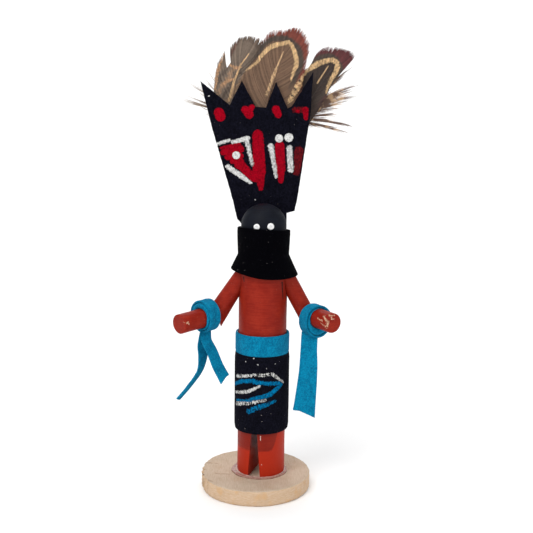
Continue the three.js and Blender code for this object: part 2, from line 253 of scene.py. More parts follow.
colours = {
    "terracotta": (0.22, 0.009, 0.003), "terracottaThin": (0.31, 0.021, 0.008), "rawWood": (0.72, 0.50, 0.32),
    "paintedLegLight": (0.44, 0.022, 0.004), "paintedKiltShadow": (0.17, 0.010, 0.004), "chip": (0.66, 0.42, 0.28),
    "darkMark": (0.03, 0.006, 0.005), "paleNick": (0.75, 0.66, 0.60),
    "slate": (0.0012, 0.0022, 0.0062), "slateThin": (0.004, 0.006, 0.012),
    "blackSuede": (0.0006, 0.0006, 0.0014), "blackNap": (0.0085, 0.0085, 0.0165),
    "scarfNap": (0.0012, 0.0011, 0.0020), "blackSheen": (0.25, 0.27, 0.4), "lint": (0.55, 0.5, 0.48),
    "turquoise": (0.0, 0.085, 0.19), "turquoiseNap": (0.003, 0.27, 0.47), "turquoiseSheen": (0.35, 0.75, 0.95),
    "red": (0.38, 0.0015, 0.012), "dullRed": (0.17, 0.008, 0.012), "white": (0.80, 0.80, 0.78),
    "blue": (0.0, 0.20, 0.45),
    "pine": (0.60, 0.48, 0.37), "pineDark": (0.42, 0.30, 0.205), "pineRim": (0.60, 0.405, 0.25),
    "pineRimPale": (0.70, 0.53, 0.38), "stain": (0.50, 0.33, 0.20), "crackShadow": (0.25, 0.15, 0.10),
    "sapWood": (0.66, 0.40, 0.19),
    "greyBrown": (0.146, 0.080, 0.045), "tan": (0.60, 0.39, 0.19), "ring": (0.056, 0.037, 0.027),
    "paleRing": (0.13, 0.090, 0.066), "redTip": (0.18, 0.034, 0.020), "darkRedTip": (0.095, 0.017, 0.019),
    "brownTip": (0.17, 0.10, 0.070), "darkInside": (0.030, 0.016, 0.011), "down": (0.25, 0.18, 0.125),
    "orange": (0.42, 0.23, 0.115), "grey": (0.165, 0.120, 0.088), "darkBrown": (0.10, 0.045, 0.032),
    "shaft": (0.52, 0.33, 0.17), "eyeWhite": (0.84, 0.84, 0.83), "eyeGrit": (0.70, 0.70, 0.70),
    "eyeDimpleShade": (0.35, 0.35, 0.36), "glue": (0.26, 0.11, 0.085), "glueThin": (0.38, 0.21, 0.165),
    "glueHighlight": (0.62, 0.43, 0.37),
}


def brushHairNodes(n, given):
    # the unevenness that all strokes on one piece share
    edge = n.noise(given["Spot"], 1.5, 4.0, 0.75)
    dry = n.noise(n.mapped(given["Spot"], (1.6, 0.7, 1.0), (0, 0, 0.25)), 1.0, 3.0, 0.7)
    return {"Shake": n.times(n.minus(edge, 0.5), 7.0), "Gaps": n.ramp(dry, 0.50, 0.535)}


def brushStrokeNodes(n, given):
    # a band between two ends with round tips, ragged edges and dry gaps
    distance, share = n.fromLine(given["Spot"], given["Start"], given["End"])
    width = n.timesPlus(n.minus(given["End Width"], given["Width"]), share, given["Width"])
    shaken = n.timesPlus(given["Shake"], given["Ragged"], distance)
    inside = n.ramp(n.timesPlus(width, -0.5, shaken), 0.1, -0.1)
    gaps = n.times(given["Gaps"], n.times(given["Dryness"], 1.35, clamp=True))
    return {"Mask": n.times(inside, n.minus(1.0, gaps))}


def suedeNapNodes(n, given):
    # short nap with lighter brushed patches, and a few caught specks of lint
    spot = given["Spot"]
    fine, broad = n.noise(spot, 1.7, 6.0, 0.8), n.noise(spot, 0.35, 4.0, 0.6)
    streak = n.noise(n.mapped(spot, (2.6, 2.6, 0.8), (0, 0.3, 0.2)), 1.5, 4.0, 0.7)
    tuft, patch = n.ramp(fine, 0.40, 0.62), n.times(n.ramp(broad, 0.38, 0.66), given["Brushed"])
    share = n.plus(n.plus(n.times(tuft, 0.6), n.times(streak, 0.3)), n.times(patch, 0.35), clamp=True)
    body = n.mix(share, given["Dark"], given["Light"])
    cells = n.add("TexVoronoi", {"Vector": spot, "Scale": 0.55, "Randomness": 1.0}).outputs["Distance"]
    speckSize = n.minus(n.times(n.noise(spot, 0.5), 0.16), 0.035)
    speck = n.times(n.math("LESS_THAN", cells, speckSize), given["Lint"])
    return {"Colour": n.mix(speck, body, colours["lint"]), "Nap": n.plus(fine, n.times(streak, 0.6))}


def woodGrainNodes(n, given):
    # grain of a soft pale wood, along Z of the spot that it is given
    streaks = n.noise(n.mapped(given["Spot"], (2.2, 2.2, 0.12)), given["Fineness"], 6.0, 0.7, 0.3)
    blotch = n.noise(given["Spot"], 0.12, 3.0)
    share = n.plus(n.ramp(streaks, 0.3, 0.75, 0.0, 0.75), n.ramp(blotch, 0.35, 0.7, 0.0, 0.3), clamp=True)
    return {"Colour": n.mix(share, given["Pale"], given["Dark"]), "Grain": streaks}


def brushedPaintNodes(n, given):
    # acrylic with faint bristle marks along one way, blotches, and rubs where the wood shows
    spot = given["Spot"]
    marks = n.noise(n.mapped(spot, (0.12, 0.12, 2.2), given["Bristle Turn"]), 1.3, 5.0, 0.65)
    patch, nick = n.noise(spot, 0.22, 4.0, 0.6), n.noise(spot, 1.1, 5.0, 0.7)
    share = n.plus(n.ramp(marks, 0.38, 0.66, 0.0, 0.6), n.ramp(patch, 0.4, 0.7, 0.0, 0.55), clamp=True)
    bare = n.times(n.ramp(nick, 0.66, 0.7), given["Rubbed"])
    painted = n.mix(share, given["Colour"], given["Thin"])
    return {"Colour": n.mix(bare, painted, given["Wood"]), "Marks": n.plus(marks, n.times(patch, 0.4))}


def featherBarNodes(n, given):
    # bands round a long round-ended field, fine streaks along the barbs
    distance, share = n.fromLine(given["Spot"], given["Start"], given["End"])
    fine, broad = n.noise(given["Spot"], 1.6, 4.0, 0.7), n.noise(given["Spot"], 0.33, 3.0, 0.6)
    shake = n.plus(n.times(n.minus(fine, 0.5), 1.3), n.times(n.minus(broad, 0.5), 1.5))
    reach = n.timesPlus(n.minus(given["Reach"], given["Start Reach"]), share, given["Start Reach"])
    bandEnd = n.minus(n.plus(distance, shake), reach)
    ringEnd = n.minus(bandEnd, given["Ring"])
    dusky = n.ramp(n.minus(n.parts(given["Spot"])[1], given["Open Below"]), -9.0, 0.0)
    field = n.mix(n.times(n.ramp(bandEnd, -0.25, 0.25), dusky), given["Inside"], given["Ring Colour"])
    field = n.mix(n.times(n.ramp(ringEnd, -0.7, 0.7), dusky), field, given["Tip"])
    mottle = n.times(n.ramp(fine, 0.45, 0.65), given["Mottle"])
    return {"Colour": n.mix(mottle, field, given["Ring Colour"]), "Streaks": n.plus(fine, n.times(broad, 0.5))}


brushHair = shaderGroup("brushHair", {"Spot": "Vector"}, brushHairNodes)
brushStroke = shaderGroup("brushStroke", {
    "Spot": "Vector", "Start": "Vector", "End": "Vector", "Width": 1.0, "End Width": 1.0, "Shake": 0.0,
    "Ragged": 0.25, "Gaps": 0.0, "Dryness": 0.0}, brushStrokeNodes)
suedeNap = shaderGroup("suedeNap", {
    "Spot": "Vector", "Dark": "Color", "Light": "Color", "Lint": 0.0, "Brushed": 0.5}, suedeNapNodes)
woodGrain = shaderGroup("woodGrain", {
    "Spot": "Vector", "Pale": "Color", "Dark": "Color", "Fineness": 1.0}, woodGrainNodes)
brushedPaint = shaderGroup("brushedPaint", {
    "Spot": "Vector", "Colour": "Color", "Thin": "Color", "Wood": "Color", "Rubbed": 0.0,
    "Bristle Turn": "Vector"}, brushedPaintNodes)
featherBars = shaderGroup("featherBars", {
    "Spot": "Vector", "Start": "Vector", "End": "Vector", "Reach": 8.0, "Start Reach": 8.0, "Ring": 2.4,
    "Inside": "Color", "Ring Colour": "Color", "Tip": "Color", "Mottle": 0.3, "Open Below": 0.0}, featherBarNodes)
print("shader groups ready")


def dab(spot, width, ragged=0.2, dryness=0.0):
    return (spot, (spot[0] + 0.01, spot[1]), width, width, ragged, dryness)


def smoothCourse(spots, share):
    # a point and its direction on a smooth run through the spots
    spans = len(spots) - 1
    place = min(share * spans, spans - 1e-6)
    low = int(place)
    mix = place - low
    a, b = spots[max(0, low - 1)], spots[low]
    c, d = spots[low + 1], spots[min(spans, low + 2)]
    bend, twist = 2 * a - 5 * b + 4 * c - d, 3 * b - a - 3 * c + d
    point = 0.5 * ((2 * b) + (c - a) * mix + bend * mix ** 2 + twist * mix ** 3)
    heading = 0.5 * ((c - a) + 2 * bend * mix + 3 * twist * mix ** 2)
    return point, heading.normalized(), low, mix


def runOf(spots, widths, ragged, dryness, smoothTo=0):
    # strokes that follow a line of spots, or a smooth line through them in this many points
    if smoothTo:
        last = len(spots) - 1
        line = [Vector(spot) for spot in spots]
        shares = [last * step / (smoothTo - 1) for step in range(smoothTo)]
        widths = [widths[int(s)] + (widths[min(last, int(s) + 1)] - widths[int(s)]) * (s - int(s)) for s in shares]
        spots = [tuple(smoothCourse(line, s / last)[0]) for s in shares]
    return [(a, b, wide, wideEnd, ragged, dryness) for a, b, wide, wideEnd in zip(spots, spots[1:], widths, widths[1:])]


# the sawn disc

disc = {
    "radius": 22.1, "height": 6.3, "edge": 0.55, "around": 320, "rings": 60, "flatReach": 0.96, "middle": 0.02,
    "roughRim": 0.28, "fineRim": 0.12, "biteAngle": 182.0, "biteSpread": 27.0, "biteDepth": 1.6,
    # each (start, end, half width, depth)
    "cracks": [((-20.0, 6.4), (-14.8, 5.8), 0.55, 0.55), ((-15.2, -4.7), (-10.0, -5.1), 0.5, 0.32),
               ((-17.8, -11.6), (-16.2, -12.6), 0.7, 0.3)],
    "crackShadePaint": [((-22.0, 6.3), (-17.4, 5.8), 1.1, 0.4, 0.3, 0.2), ((-17.7, -4.7), (-12.2, -5.1), 0.8, 0.4, 0.3, 0.2),
                   ((-20.2, -11.5), (-18.6, -12.6), 0.9, 0.5, 0.4, 0.3)],
}


def discMaterial():
    n = startMaterial("paleSawnWood", 0.78, specular=0.3)
    spot = n.millimetres()
    turned = n.mapped(spot, rotation=(math.radians(90), 0.0, math.radians(4)))
    grain = n.group(woodGrain, {"Spot": turned, "Pale": colours["pine"], "Dark": colours["pineDark"],
                                "Fineness": 2.2})
    rim = n.ramp(n.parts(n.add("NewGeometry").outputs["Normal"])[2], 0.75, 0.35)
    rimGrain = n.noise(n.mapped(spot, (0.5, 0.5, 3.2)), 1.2, 5.0, 0.7)
    rimColour = n.mix(n.ramp(rimGrain, 0.35, 0.7), colours["pineRim"], colours["pineRimPale"])
    colour = n.mix(rim, grain["Colour"], rimColour)
    smudge = n.ramp(n.noise(spot, 0.16, 4.0, 0.65), 0.52, 0.78, 0.0, 0.35)
    colour = n.mix(smudge, colour, colours["stain"])
    # dark strokes along the cracks: painted shade in the grooves
    flat = n.vector("MULTIPLY", spot, (1.0, 1.0, 0.0))
    crackShade = n.strokes(flat, n.group(brushHair, {"Spot": flat}), disc["crackShadePaint"])
    colour = n.mix(n.times(crackShade, 0.55), colour, colours["crackShadow"])
    # patches of orange sap wood on the rim
    sap = n.times(n.ramp(n.noise(spot, 0.22, 3.0), 0.5, 0.65), rim)
    colour = n.mix(n.times(sap, 0.6), colour, colours["sapWood"])
    return n.finish(colour, n.plus(grain["Grain"], n.times(rimGrain, rim)), 0.22, 0.8)


def rimAt(angle, level):
    # the rim's radius: fine saw roughness and the bitten side, worst at mid height
    x, y = math.cos(angle) * disc["radius"], math.sin(angle) * disc["radius"]
    rough = disc["roughRim"] * wobble(x, y, level * 3, 2.2) + disc["fineRim"] * wobble(x, y, level * 6, 0.7, 3.0)
    away = (math.degrees(angle) - disc["biteAngle"] + 180) % 360 - 180
    jagged = abs(wobble(x, y, level * 4, 1.5, 9.0)) + 0.8 * abs(wobble(x, y, level * 2, 0.8, 5.0))
    bite = math.exp(-(away / disc["biteSpread"]) ** 4) * (0.12 + 1.2 * jagged)
    return min(disc["radius"], disc["radius"] - 0.12 + rough - disc["biteDepth"] * bite)


def crackDepth(x, y):
    deep = 0.0
    for start, end, size, depth in disc["cracks"]:
        run, off = Vector(end) - Vector(start), Vector((x, y)) - Vector(start)
        share = min(1.0, max(0.0, off.dot(run) / run.length_squared))
        far = (off - run * share).length / size
        deep += depth * math.exp(-far * far) * (0.8 + 0.6 * wobble(x, y, 1, 0.8))
    return deep


def makeDisc():
    edge, top = disc["edge"], disc["height"]
    edgeShare = edge / disc["radius"]
    inner = [disc["flatReach"] * i / disc["rings"] for i in range(1, disc["rings"])]
    # each station is a share of the rim's radius and a height
    stations = [(disc["middle"], 0.0)] + [(place, 0.0) for place in inner] + [(1 - edgeShare, 0.0), (1.0, edge)]
    stations += [(1.0, edge + (top - 2 * edge) * i / 8) for i in range(1, 9)]
    stations += [(1 - 0.4 * edgeShare, top - 0.25 * edge), (1 - 1.2 * edgeShare, top)]
    stations += [(place, top) for place in inner[::-1]] + [(disc["middle"], top)]
    rows = []
    for place, level in stations:
        row = []
        for angle in turnsOf(disc["around"]):
            reach = rimAt(angle, level) * place
            x, y, z = reach * math.cos(angle), reach * math.sin(angle), level
            if level > top - 0.1:
                z -= 0.06 + 0.06 * wobble(x, y, 0, 3.0) + crackDepth(x, y)
            row.append((x, y, max(0.0, z)))
        rows.append(row)
    pieceFrom("sawnDisc", *skinOver(rows), "bare_wood", discMaterial(), ["base"], beside=0.0)


makeDisc()
print("disc made")

# painted dowels

arms = {
    "right": {"side": -1, "shoulder": 79.9, "lean": 34.7, "turnOut": 44.0, "drop": 3.5, "sashAt": 4.8,
              "sashRise": 1.0, "innerPast": 0.5, "splinter": 2.2, "chips": [
                  ((-29.8, 70.5), (-28.2, 70.1), 0.12, 0.2, 0.15, 0.4),
                  ((-28.1, 70.2), (-27.7, 69.7), 0.5, 0.45, 0.3, 0.2)]},
    "left": {"side": 1, "shoulder": 81.7, "lean": 28.8, "turnOut": 30.0, "drop": 0.0, "sashAt": 6.5,
             "sashRise": -1.0, "innerPast": 0.35, "splinter": 0.0, "chips": [
                 ((20.9, 72.3), (22.2, 71.8), 0.3, 0.5, 0.4, 0.4), ((23.0, 73.5), (24.3, 71.8), 0.6, 0.9, 0.5, 0.4),
                 ((24.5, 71.6), (24.2, 69.7), 0.8, 0.5, 0.5, 0.4), ((24.9, 74.1), (26.7, 73.9), 0.45, 0.35, 0.3, 0.2),
                 ((25.9, 73.4), (25.8, 72.6), 0.35, 0.35, 0.2, 0.2), ((25.9, 72.6), (26.8, 72.5), 0.4, 0.3, 0.3, 0.2),
                 ((22.2, 70.8), (23.4, 70.0), 0.35, 0.5, 0.5, 0.4)]},
}
dowel = {"trunk": 9.5, "neck": 8.5, "head": 8.85, "trunkTop": 80.2, "neckHeight": 88.2, "domeFoot": 99.3,
         "domeRise": 8.5,
         "footEdge": 0.35, "notchFace": 7.8, "shoulderForward": 0.8, "upperArm": 3.375, "upperLength": 19.4,
         "forearm": 3.75, "foreLength": 18.3, "glue": 0.3, "cutFoot": 5.1, "cutTop": 1.2, "cutHeight": 26.7,
         "cutTurn": -17.0, "around": 128, "domeSteps": 22, "headPaintFrom": 99.1, "headPaintFull": 99.5}
bodyMarks = [((7.3, 84.4), (7.8, 77.5), 0.5, 0.3, 0.08, 0.1), ((-7.5, 86.2), (-7.3, 84.4), 0.45, 0.3, 0.1, 0.1)]
legNicks = [((-0.2, 23.6), (-0.2, 22.0), 0.3, 0.2, 0.1, 0.1), dab((0.3, 12.0), 0.3)]
endShares = (0.15, 0.4, 0.65, 0.85, 0.965)   # rings on a dowel's cut end


def armLine(side):
    a = arms[side]
    lean, out, drop = (math.radians(a[key]) for key in ("lean", "turnOut", "drop"))
    down = Vector((a["side"] * math.sin(lean), 0, -math.cos(lean)))
    forward = Vector((a["side"] * math.sin(out) * math.cos(drop), -math.cos(out) * math.cos(drop), -math.sin(drop)))
    shoulder = Vector((a["side"] * dowel["notchFace"], -dowel["shoulderForward"], discTop + a["shoulder"]))
    elbow = shoulder + down * dowel["upperLength"]
    return {"shoulder": shoulder, "elbow": elbow, "hand": elbow + forward * dowel["foreLength"], "down": down,
            "forward": forward}


def cutRod(name, middle, along, radius, planes, mat, rows=26, around=72, roughEnds=0.05, replaces=(), splinter=0.0):
    # a dowel cut off by two planes, each (point, normal); every cut end has rings, so that it can be uneven
    across = along.cross(Vector((0, 0, 1))).normalized()
    up = across.cross(along).normalized()

    def endRing(plane, share, easing, sign):
        ring = []
        for angle in turnsOf(around):
            spoke = across * math.cos(angle) + up * math.sin(angle)
            foot = middle + spoke * radius * share
            point, normal = plane
            reach = (point - foot).dot(normal) / along.dot(normal)
            spot = foot + along * (reach - sign * easing)
            if splinter and sign > 0 and share > 0.9:
                spot = spot + Vector((0.2, 0, -1)) * splinter * max(0.0, spoke.dot(Vector((0.76, 0, -0.65)))) ** 24
            if share < 0.999:
                spot = spot + along * (sign * -roughEnds * (0.5 + abs(wobble(spot.x, spot.y, spot.z, 0.9))))
            ring.append(spot)
        return ring

    start, end = endRing(planes[0], 1.0, 0.16, -1), endRing(planes[1], 1.0, 0.16, 1)
    wall = []
    for share in sharesOf(rows):
        ring = []
        for first, last in zip(start, end):
            spot = first.lerp(last, share)
            spoke = (spot - middle) - along * (spot - middle).dot(along)
            ring.append(spot + spoke.normalized() * 0.035 * wobble(spot.x, spot.y, spot.z, 3.0))
        wall.append(ring)
    rings = [endRing(planes[0], share, 0.0, -1) for share in endShares] + wall
    rings += [endRing(planes[1], share, 0.0, 1) for share in endShares[::-1]]
    return pieceFrom(name, *skinOver(rings), "terracotta_paint", mat, replaces)


def brushed(n, spot, tone, thin, wood, rubbed=0.0, turn=(0.0, 0.0, 0.0)):
    return n.group(brushedPaint, {"Spot": spot, "Colour": colours[tone], "Thin": colours[thin],
                                  "Wood": colours[wood], "Rubbed": rubbed, "Bristle Turn": turn})


def terracottaMaterial(name, turn, chips=(), rubbed=0.15):
    # chips are strokes where the paint came off the hand's end
    n = startMaterial(name, 0.5, specular=0.13)
    spot = n.millimetres()
    paint = brushed(n, spot, "terracotta", "terracottaThin", "rawWood", rubbed, turn)
    colour, relief = paint["Colour"], paint["Marks"]
    if chips:
        parts = n.parts(spot)
        flat = n.flat(parts)
        chipped = n.strokes(flat, n.group(brushHair, {"Spot": flat}), chips)
        bare = n.times(chipped, n.math("LESS_THAN", parts[1], -10.5))
        colour, relief = n.mix(bare, colour, colours["chip"]), n.minus(relief, bare)
    return n.finish(colour, relief, 0.12, 0.7, n.ramp(paint["Marks"], 0.4, 1.0, 0.42, 0.62))


def bodyMaterial():
    # terracotta up to the scarf, slate black above it
    n = startMaterial("figurePaint", 0.5, specular=0.13)
    spot = n.millimetres()
    parts = n.parts(spot)
    flat, level, front = n.flat(parts), parts[2], n.math("LESS_THAN", parts[1], 0.0)
    hair = n.group(brushHair, {"Spot": flat})
    skin = brushed(n, spot, "terracotta", "terracottaThin", "rawWood", 0.1)
    mask = brushed(n, spot, "slate", "slateThin", "slateThin")
    head = n.ramp(level, dowel["headPaintFrom"], dowel["headPaintFull"])
    colour = n.mix(head, skin["Colour"], mask["Colour"])
    # painted shade of the kilt on the legs above a curved line, and painted light on the legs below it
    beside = n.math("MAXIMUM", n.minus(parts[0], 3.6), 0.0)
    edge = n.timesPlus(n.times(beside, beside), 0.85, 17.4)
    over = n.minus(n.timesPlus(hair["Shake"], 0.5, level), edge)
    legs = n.ramp(level, 30.0, 25.0)
    for soft, share, tone in ((0.35, 0.75, "paintedLegLight"), (-0.35, 0.42, "paintedKiltShadow")):
        lightAndShadeShare = n.times(n.ramp(over, soft, -soft), legs)
        colour = n.mix(n.times(lightAndShadeShare, share), colour, colours[tone])
    for strokes, tone in ((bodyMarks, "darkMark"), (legNicks, "paleNick")):
        colour = n.mix(n.times(n.strokes(flat, hair, strokes), front), colour, colours[tone])
    roughness = n.plus(n.ramp(skin["Marks"], 0.4, 1.0, 0.40, 0.60), n.times(head, 0.08))
    return n.finish(colour, skin["Marks"], 0.12, 0.7, roughness)


def bodyProfile():
    d = dowel
    edge, narrowing, widening = d["footEdge"], d["neck"] - d["trunk"], d["head"] - d["neck"]
    profile = [(0.4, 0.0), (4.0, 0.0), (7.0, 0.0), (d["trunk"] - edge, 0.0), (d["trunk"], edge)]
    profile += [(d["trunk"], edge + (d["trunkTop"] - edge) * i / 60) for i in range(1, 61)]
    profile += [(d["trunk"] + narrowing * share ** 1.3, d["trunkTop"] + (d["neckHeight"] - d["trunkTop"]) * share)
                for share in sharesOf(6)[1:]]
    profile += [(d["neck"] + widening * share, d["neckHeight"] + (d["domeFoot"] - d["neckHeight"]) * share)
                for share in sharesOf(6)[1:]]
    for share in sharesOf(d["domeSteps"])[1:-1]:
        turn = math.radians(90 * share)
        profile.append((d["head"] * math.cos(turn), d["domeFoot"] + d["domeRise"] * math.sin(turn)))
    return profile


def legCutter(mat):
    d = dowel
    below, depth = 1.0, 30.0
    foot = (d["cutFoot"] + (d["cutFoot"] - d["cutTop"]) / d["cutHeight"] * below) / 2
    turn = Matrix.Rotation(math.radians(d["cutTurn"]), 3, "Z")
    corners = [(-foot, -below), (foot, -below), (d["cutTop"] / 2, d["cutHeight"]), (-d["cutTop"] / 2, d["cutHeight"])]
    rows = [[turn @ Vector((x, y, z)) + Vector((0, 0, discTop)) for x, z in corners] for y in (-depth / 2, depth / 2)]
    return pieceFrom("legCutter", *skinOver(rows), "terracotta_paint", mat)


def makeBodyDowel():
    d, rows, mat = dowel, [], bodyMaterial()
    for radius, level in bodyProfile():
        row = []
        for angle in turnsOf(d["around"]):
            x, y = math.cos(angle), math.sin(angle)
            rough = 0.05 * wobble(x * radius, y * radius, level * 0.6, 5.0) if radius > 3 else 0
            row.append(((radius + rough - 0.03) * x, (radius + rough - 0.03) * y, discTop + level))
        rows.append(row)
    body = pieceFrom("figureDowel", *skinOver(rows), "terracotta_paint", mat, ["body"])
    cutters = [legCutter(mat)]
    for side in arms:
        line = armLine(side)
        planes = [(line["shoulder"], Vector((-arms[side]["side"], 0, 0))), (line["elbow"], line["down"])]
        cutters.append(cutRod(f"{side}Notch", line["shoulder"], line["down"], d["upperArm"] + d["glue"], planes, mat,
                              rows=2, around=48, roughEnds=0.0))
    for cutter in cutters:
        cut = body.modifiers.new("cut", "BOOLEAN")
        cut.operation, cut.solver, cut.object = "DIFFERENCE", "EXACT", cutter
    # the cuts are kept as plain mesh
    cutShape = bpy.data.meshes.new_from_object(body.evaluated_get(bpy.context.evaluated_depsgraph_get()))
    old = body.data
    body.modifiers.clear()
    body.data = cutShape
    cutShape.name = old.name
    for cutter in cutters:
        bpy.data.objects.remove(cutter)
    softenEdges(body, 0.18, 50)
    for poly in body.data.polygons:
        poly.use_smooth = True
    body.modifiers.new("evenShade", "WEIGHTED_NORMAL").keep_sharp = True


makeBodyDowel()
for side, a in arms.items():
    line, sign, gap = armLine(side), a["side"], dowel["glue"]
    mitre = (line["down"] + line["forward"]).normalized()
    shoulderPlane = (line["shoulder"] + Vector((sign * gap, 0, 0)), Vector((-sign, 0, 0)))
    upperPaint = terracottaMaterial(f"{side}UpperArmPaint", (0.0, math.radians(a["lean"] * sign), 0.0))
    cutRod(f"{side}UpperArm", line["shoulder"], line["down"], dowel["upperArm"],
           [shoulderPlane, (line["elbow"] - mitre * gap / 2, mitre)], upperPaint,
           replaces=[f"{side}_upper_arm"], splinter=a["splinter"])
    forePaint = terracottaMaterial(f"{side}ForearmPaint", (math.radians(90), 0.0, 0.0), a["chips"], 0.35)
    cutRod(f"{side}Forearm", line["elbow"], line["forward"], dowel["forearm"],
           [(line["elbow"] + mitre * gap / 2, mitre), (line["hand"], line["forward"])], forePaint,
           roughEnds=0.1, replaces=[f"{side}_forearm"])
print("dowels made")

# suede wraps

wrap = {"thick": 0.85, "clear": 0.15, "around": 200, "kiltHem": 18.4, "kiltLength": 31.0, "beltWidth": 7.7, "seam": 0.3,
        "seamGap": 0.35, "scarfAbove": 10.0, "scarfBelow": 7.6, "topTilt": 0.5, "hemTilt": 1.1, "hemLift": 0.7,
        "sideFlare": 2.8, "frontFlare": 1.8, "sideSlack": 0.5, "bend": 0.6, "armClear": 0.35}
trunkInside = dowel["trunk"] + wrap["clear"]
kiltTop = wrap["kiltHem"] + wrap["kiltLength"]


def wrapPiece(name, wall, slotName, mat, replaces, rows, uneven, seed, seamAt=90.0, hemRound=0.35, thick=wrap["thick"]):
    # an open strip bent round the figure, its two ends nearly meeting at the back;
    # wall(angle, share) gives the inner radius and the height at a share of the way up
    sections, gapTurn = [], math.degrees(wrap["seamGap"] / 10.0)
    for around in sharesOf(wrap["around"]):
        angle = math.radians(seamAt + gapTurn / 2 + (360 - gapTurn) * around)
        x, y = math.cos(angle), math.sin(angle)
        inside, outside = [], []
        for share in sharesOf(rows):
            radius, level = wall(angle, share)
            edge = min(share, 1 - share) * rows
            ripple = uneven * wobble(x * 10, y * 10, level * 0.5, 4.0, seed)
            if edge < 0.5:
                level += 0.3 * uneven * wobble(x * 10, y * 10, 5 * share, 2.5, seed + 4)
            pull = hemRound * max(0.0, 1 - edge) ** 2
            inside.append((radius + max(0.0, ripple) * 0.5 + 0.2 * pull, level))
            outside.append((radius + thick + ripple * 0.5 - 0.5 * pull, level))
        sections.append([(r * x, r * y, discTop + z) for r, z in inside + outside[::-1]])
    piece = pieceFrom(name, *skinOver(sections), slotName, mat, replaces)
    softenEdges(piece, 0.22)
    return piece


def suedeMaterial(name, tones, brushing, lint, sheen, paints=(), paintedBefore=0.0, unrolled=None):
    # paints go on the front, up to a depth; unrolled is the radius that the strokes are bent round
    dark, light, sheenTint = (colours[tone] for tone in tones)
    n = startMaterial(name, 0.95, sheen=sheen, specular=0.025, sheenTint=sheenTint)
    spot = n.millimetres()
    nap = n.group(suedeNap, {"Spot": spot, "Dark": dark, "Light": light, "Brushed": brushing, "Lint": lint})
    colour, relief = nap["Colour"], nap["Nap"]
    if paints:
        parts = n.parts(spot)
        across = n.times(n.math("ARCTAN2", parts[0], n.times(parts[1], -1.0)), unrolled) if unrolled else None
        flat = n.flat(parts, across)
        front = n.math("LESS_THAN", parts[1], paintedBefore)
        hair = n.group(brushHair, {"Spot": flat})
        grit = n.ramp(n.noise(spot, 1.7, 5.0, 0.8), 0.40, 0.66)
        for paint, strokes in paints:
            mask = n.times(n.strokes(flat, hair, strokes), front)
            toned = n.mix(grit, colours[paint], tuple(part * 0.42 for part in colours[paint]))
            colour = n.mix(mask, colour, toned)
            relief = n.plus(relief, n.times(mask, 0.9))
    return n.finish(colour, relief, 0.3, 0.9)


kiltPaints = [
    ("white", [((-11.9, 46.6), (-2.9, 48.6), 1.3, 1.2, 0.3, 0.75), ((-2.9, 48.6), (4.1, 49.0), 1.2, 1.3, 0.3, 0.75),
               ((4.1, 49.0), (9.3, 44.9), 1.3, 0.7, 0.25, 0.55), ((-13.3, 39.6), (-5.0, 41.9), 1.0, 1.3, 0.25, 0.45),
               ((-5.0, 41.9), (-0.8, 44.4), 1.4, 0.9, 0.2, 0.2), ((-11.7, 35.4), (-5.0, 37.5), 1.6, 1.9, 0.35, 0.7),
               ((-5.0, 37.5), (1.4, 38.9), 1.9, 0.9, 0.35, 0.7)]),
    ("blue", [((-13.4, 43.0), (-8.0, 45.5), 1.5, 1.6, 0.25, 0.3), ((-8.0, 45.5), (-2.9, 46.4), 1.6, 1.6, 0.25, 0.3),
              ((-2.9, 45.9), (7.1, 45.0), 1.7, 1.5, 0.25, 0.35), ((8.0, 44.2), (3.2, 41.0), 1.7, 2.0, 0.25, 0.3),
              ((3.2, 41.0), (-3.9, 38.9), 1.9, 1.4, 0.25, 0.3), ((-3.9, 38.5), (-11.7, 36.9), 1.2, 0.9, 0.3, 0.5),
              ((-4.9, 33.9), (-1.0, 35.9), 1.9, 2.1, 0.4, 0.55), ((-1.0, 35.9), (5.2, 38.1), 2.1, 1.2, 0.35, 0.55)]),
    ("white", [dab((-3.2, 55.2), 0.4), dab((-1.5, 52.9), 0.55), dab((-6.5, 53.6), 0.4), dab((5.2, 53.0), 0.25),
               dab((1.8, 51.5), 0.25)]),
]
blackTones = ("blackSuede", "blackNap", "blackSheen")
scarfSuede = suedeMaterial("blackSuede", ("blackSuede", "scarfNap", "blackSheen"), 0.4, 0.35, 0.003)
kiltSuede = suedeMaterial("kiltSuede", blackTones, 0.45, 1.0, 0.015, kiltPaints, unrolled=10.5)
turquoiseSuede = suedeMaterial("turquoiseSuede", ("turquoise", "turquoiseNap", "turquoiseSheen"), 0.8, 0.15, 0.08)


def kiltWall(angle, share):
    return trunkInside, wrap["kiltHem"] + wrap["kiltLength"] * share + 0.12 * math.cos(angle) * (1 - share)


def beltWall(angle, share):
    return trunkInside, kiltTop + (wrap["seam"] + wrap["beltWidth"]) * share


def armReach(side, level):
    lean = math.radians(arms[side]["lean"])
    top = arms[side]["shoulder"] + dowel["upperArm"] / math.sin(lean)
    return dowel["notchFace"] + (top - level) * math.tan(lean)


def scarfWall(angle, share):
    w, across, neck = wrap, math.cos(angle), dowel["neckHeight"]
    slack = w["sideSlack"] * across ** 2
    waist = dowel["neck"] + w["clear"] + slack
    hem = neck - w["scarfBelow"] + w["hemLift"] * math.cos(2 * angle) - w["hemTilt"] * across
    overArm = max(waist + w["sideFlare"], armReach("left" if across > 0 else "right", hem) + w["armClear"])
    hemRadius = waist + w["frontFlare"] + (overArm - waist - w["frontFlare"]) * across ** 2
    top = neck + w["scarfAbove"] - w["topTilt"] * (across + math.sin(angle))
    stations = [(hemRadius, hem), (hemRadius + (waist - hemRadius) * w["bend"], hem + (neck - hem) * w["bend"]),
                (waist, neck), (dowel["head"] + w["clear"] + slack, top)]
    low = min(2, int(share * 3))
    return tuple(a + (b - a) * (share * 3 - low) for a, b in zip(stations[low], stations[low + 1]))


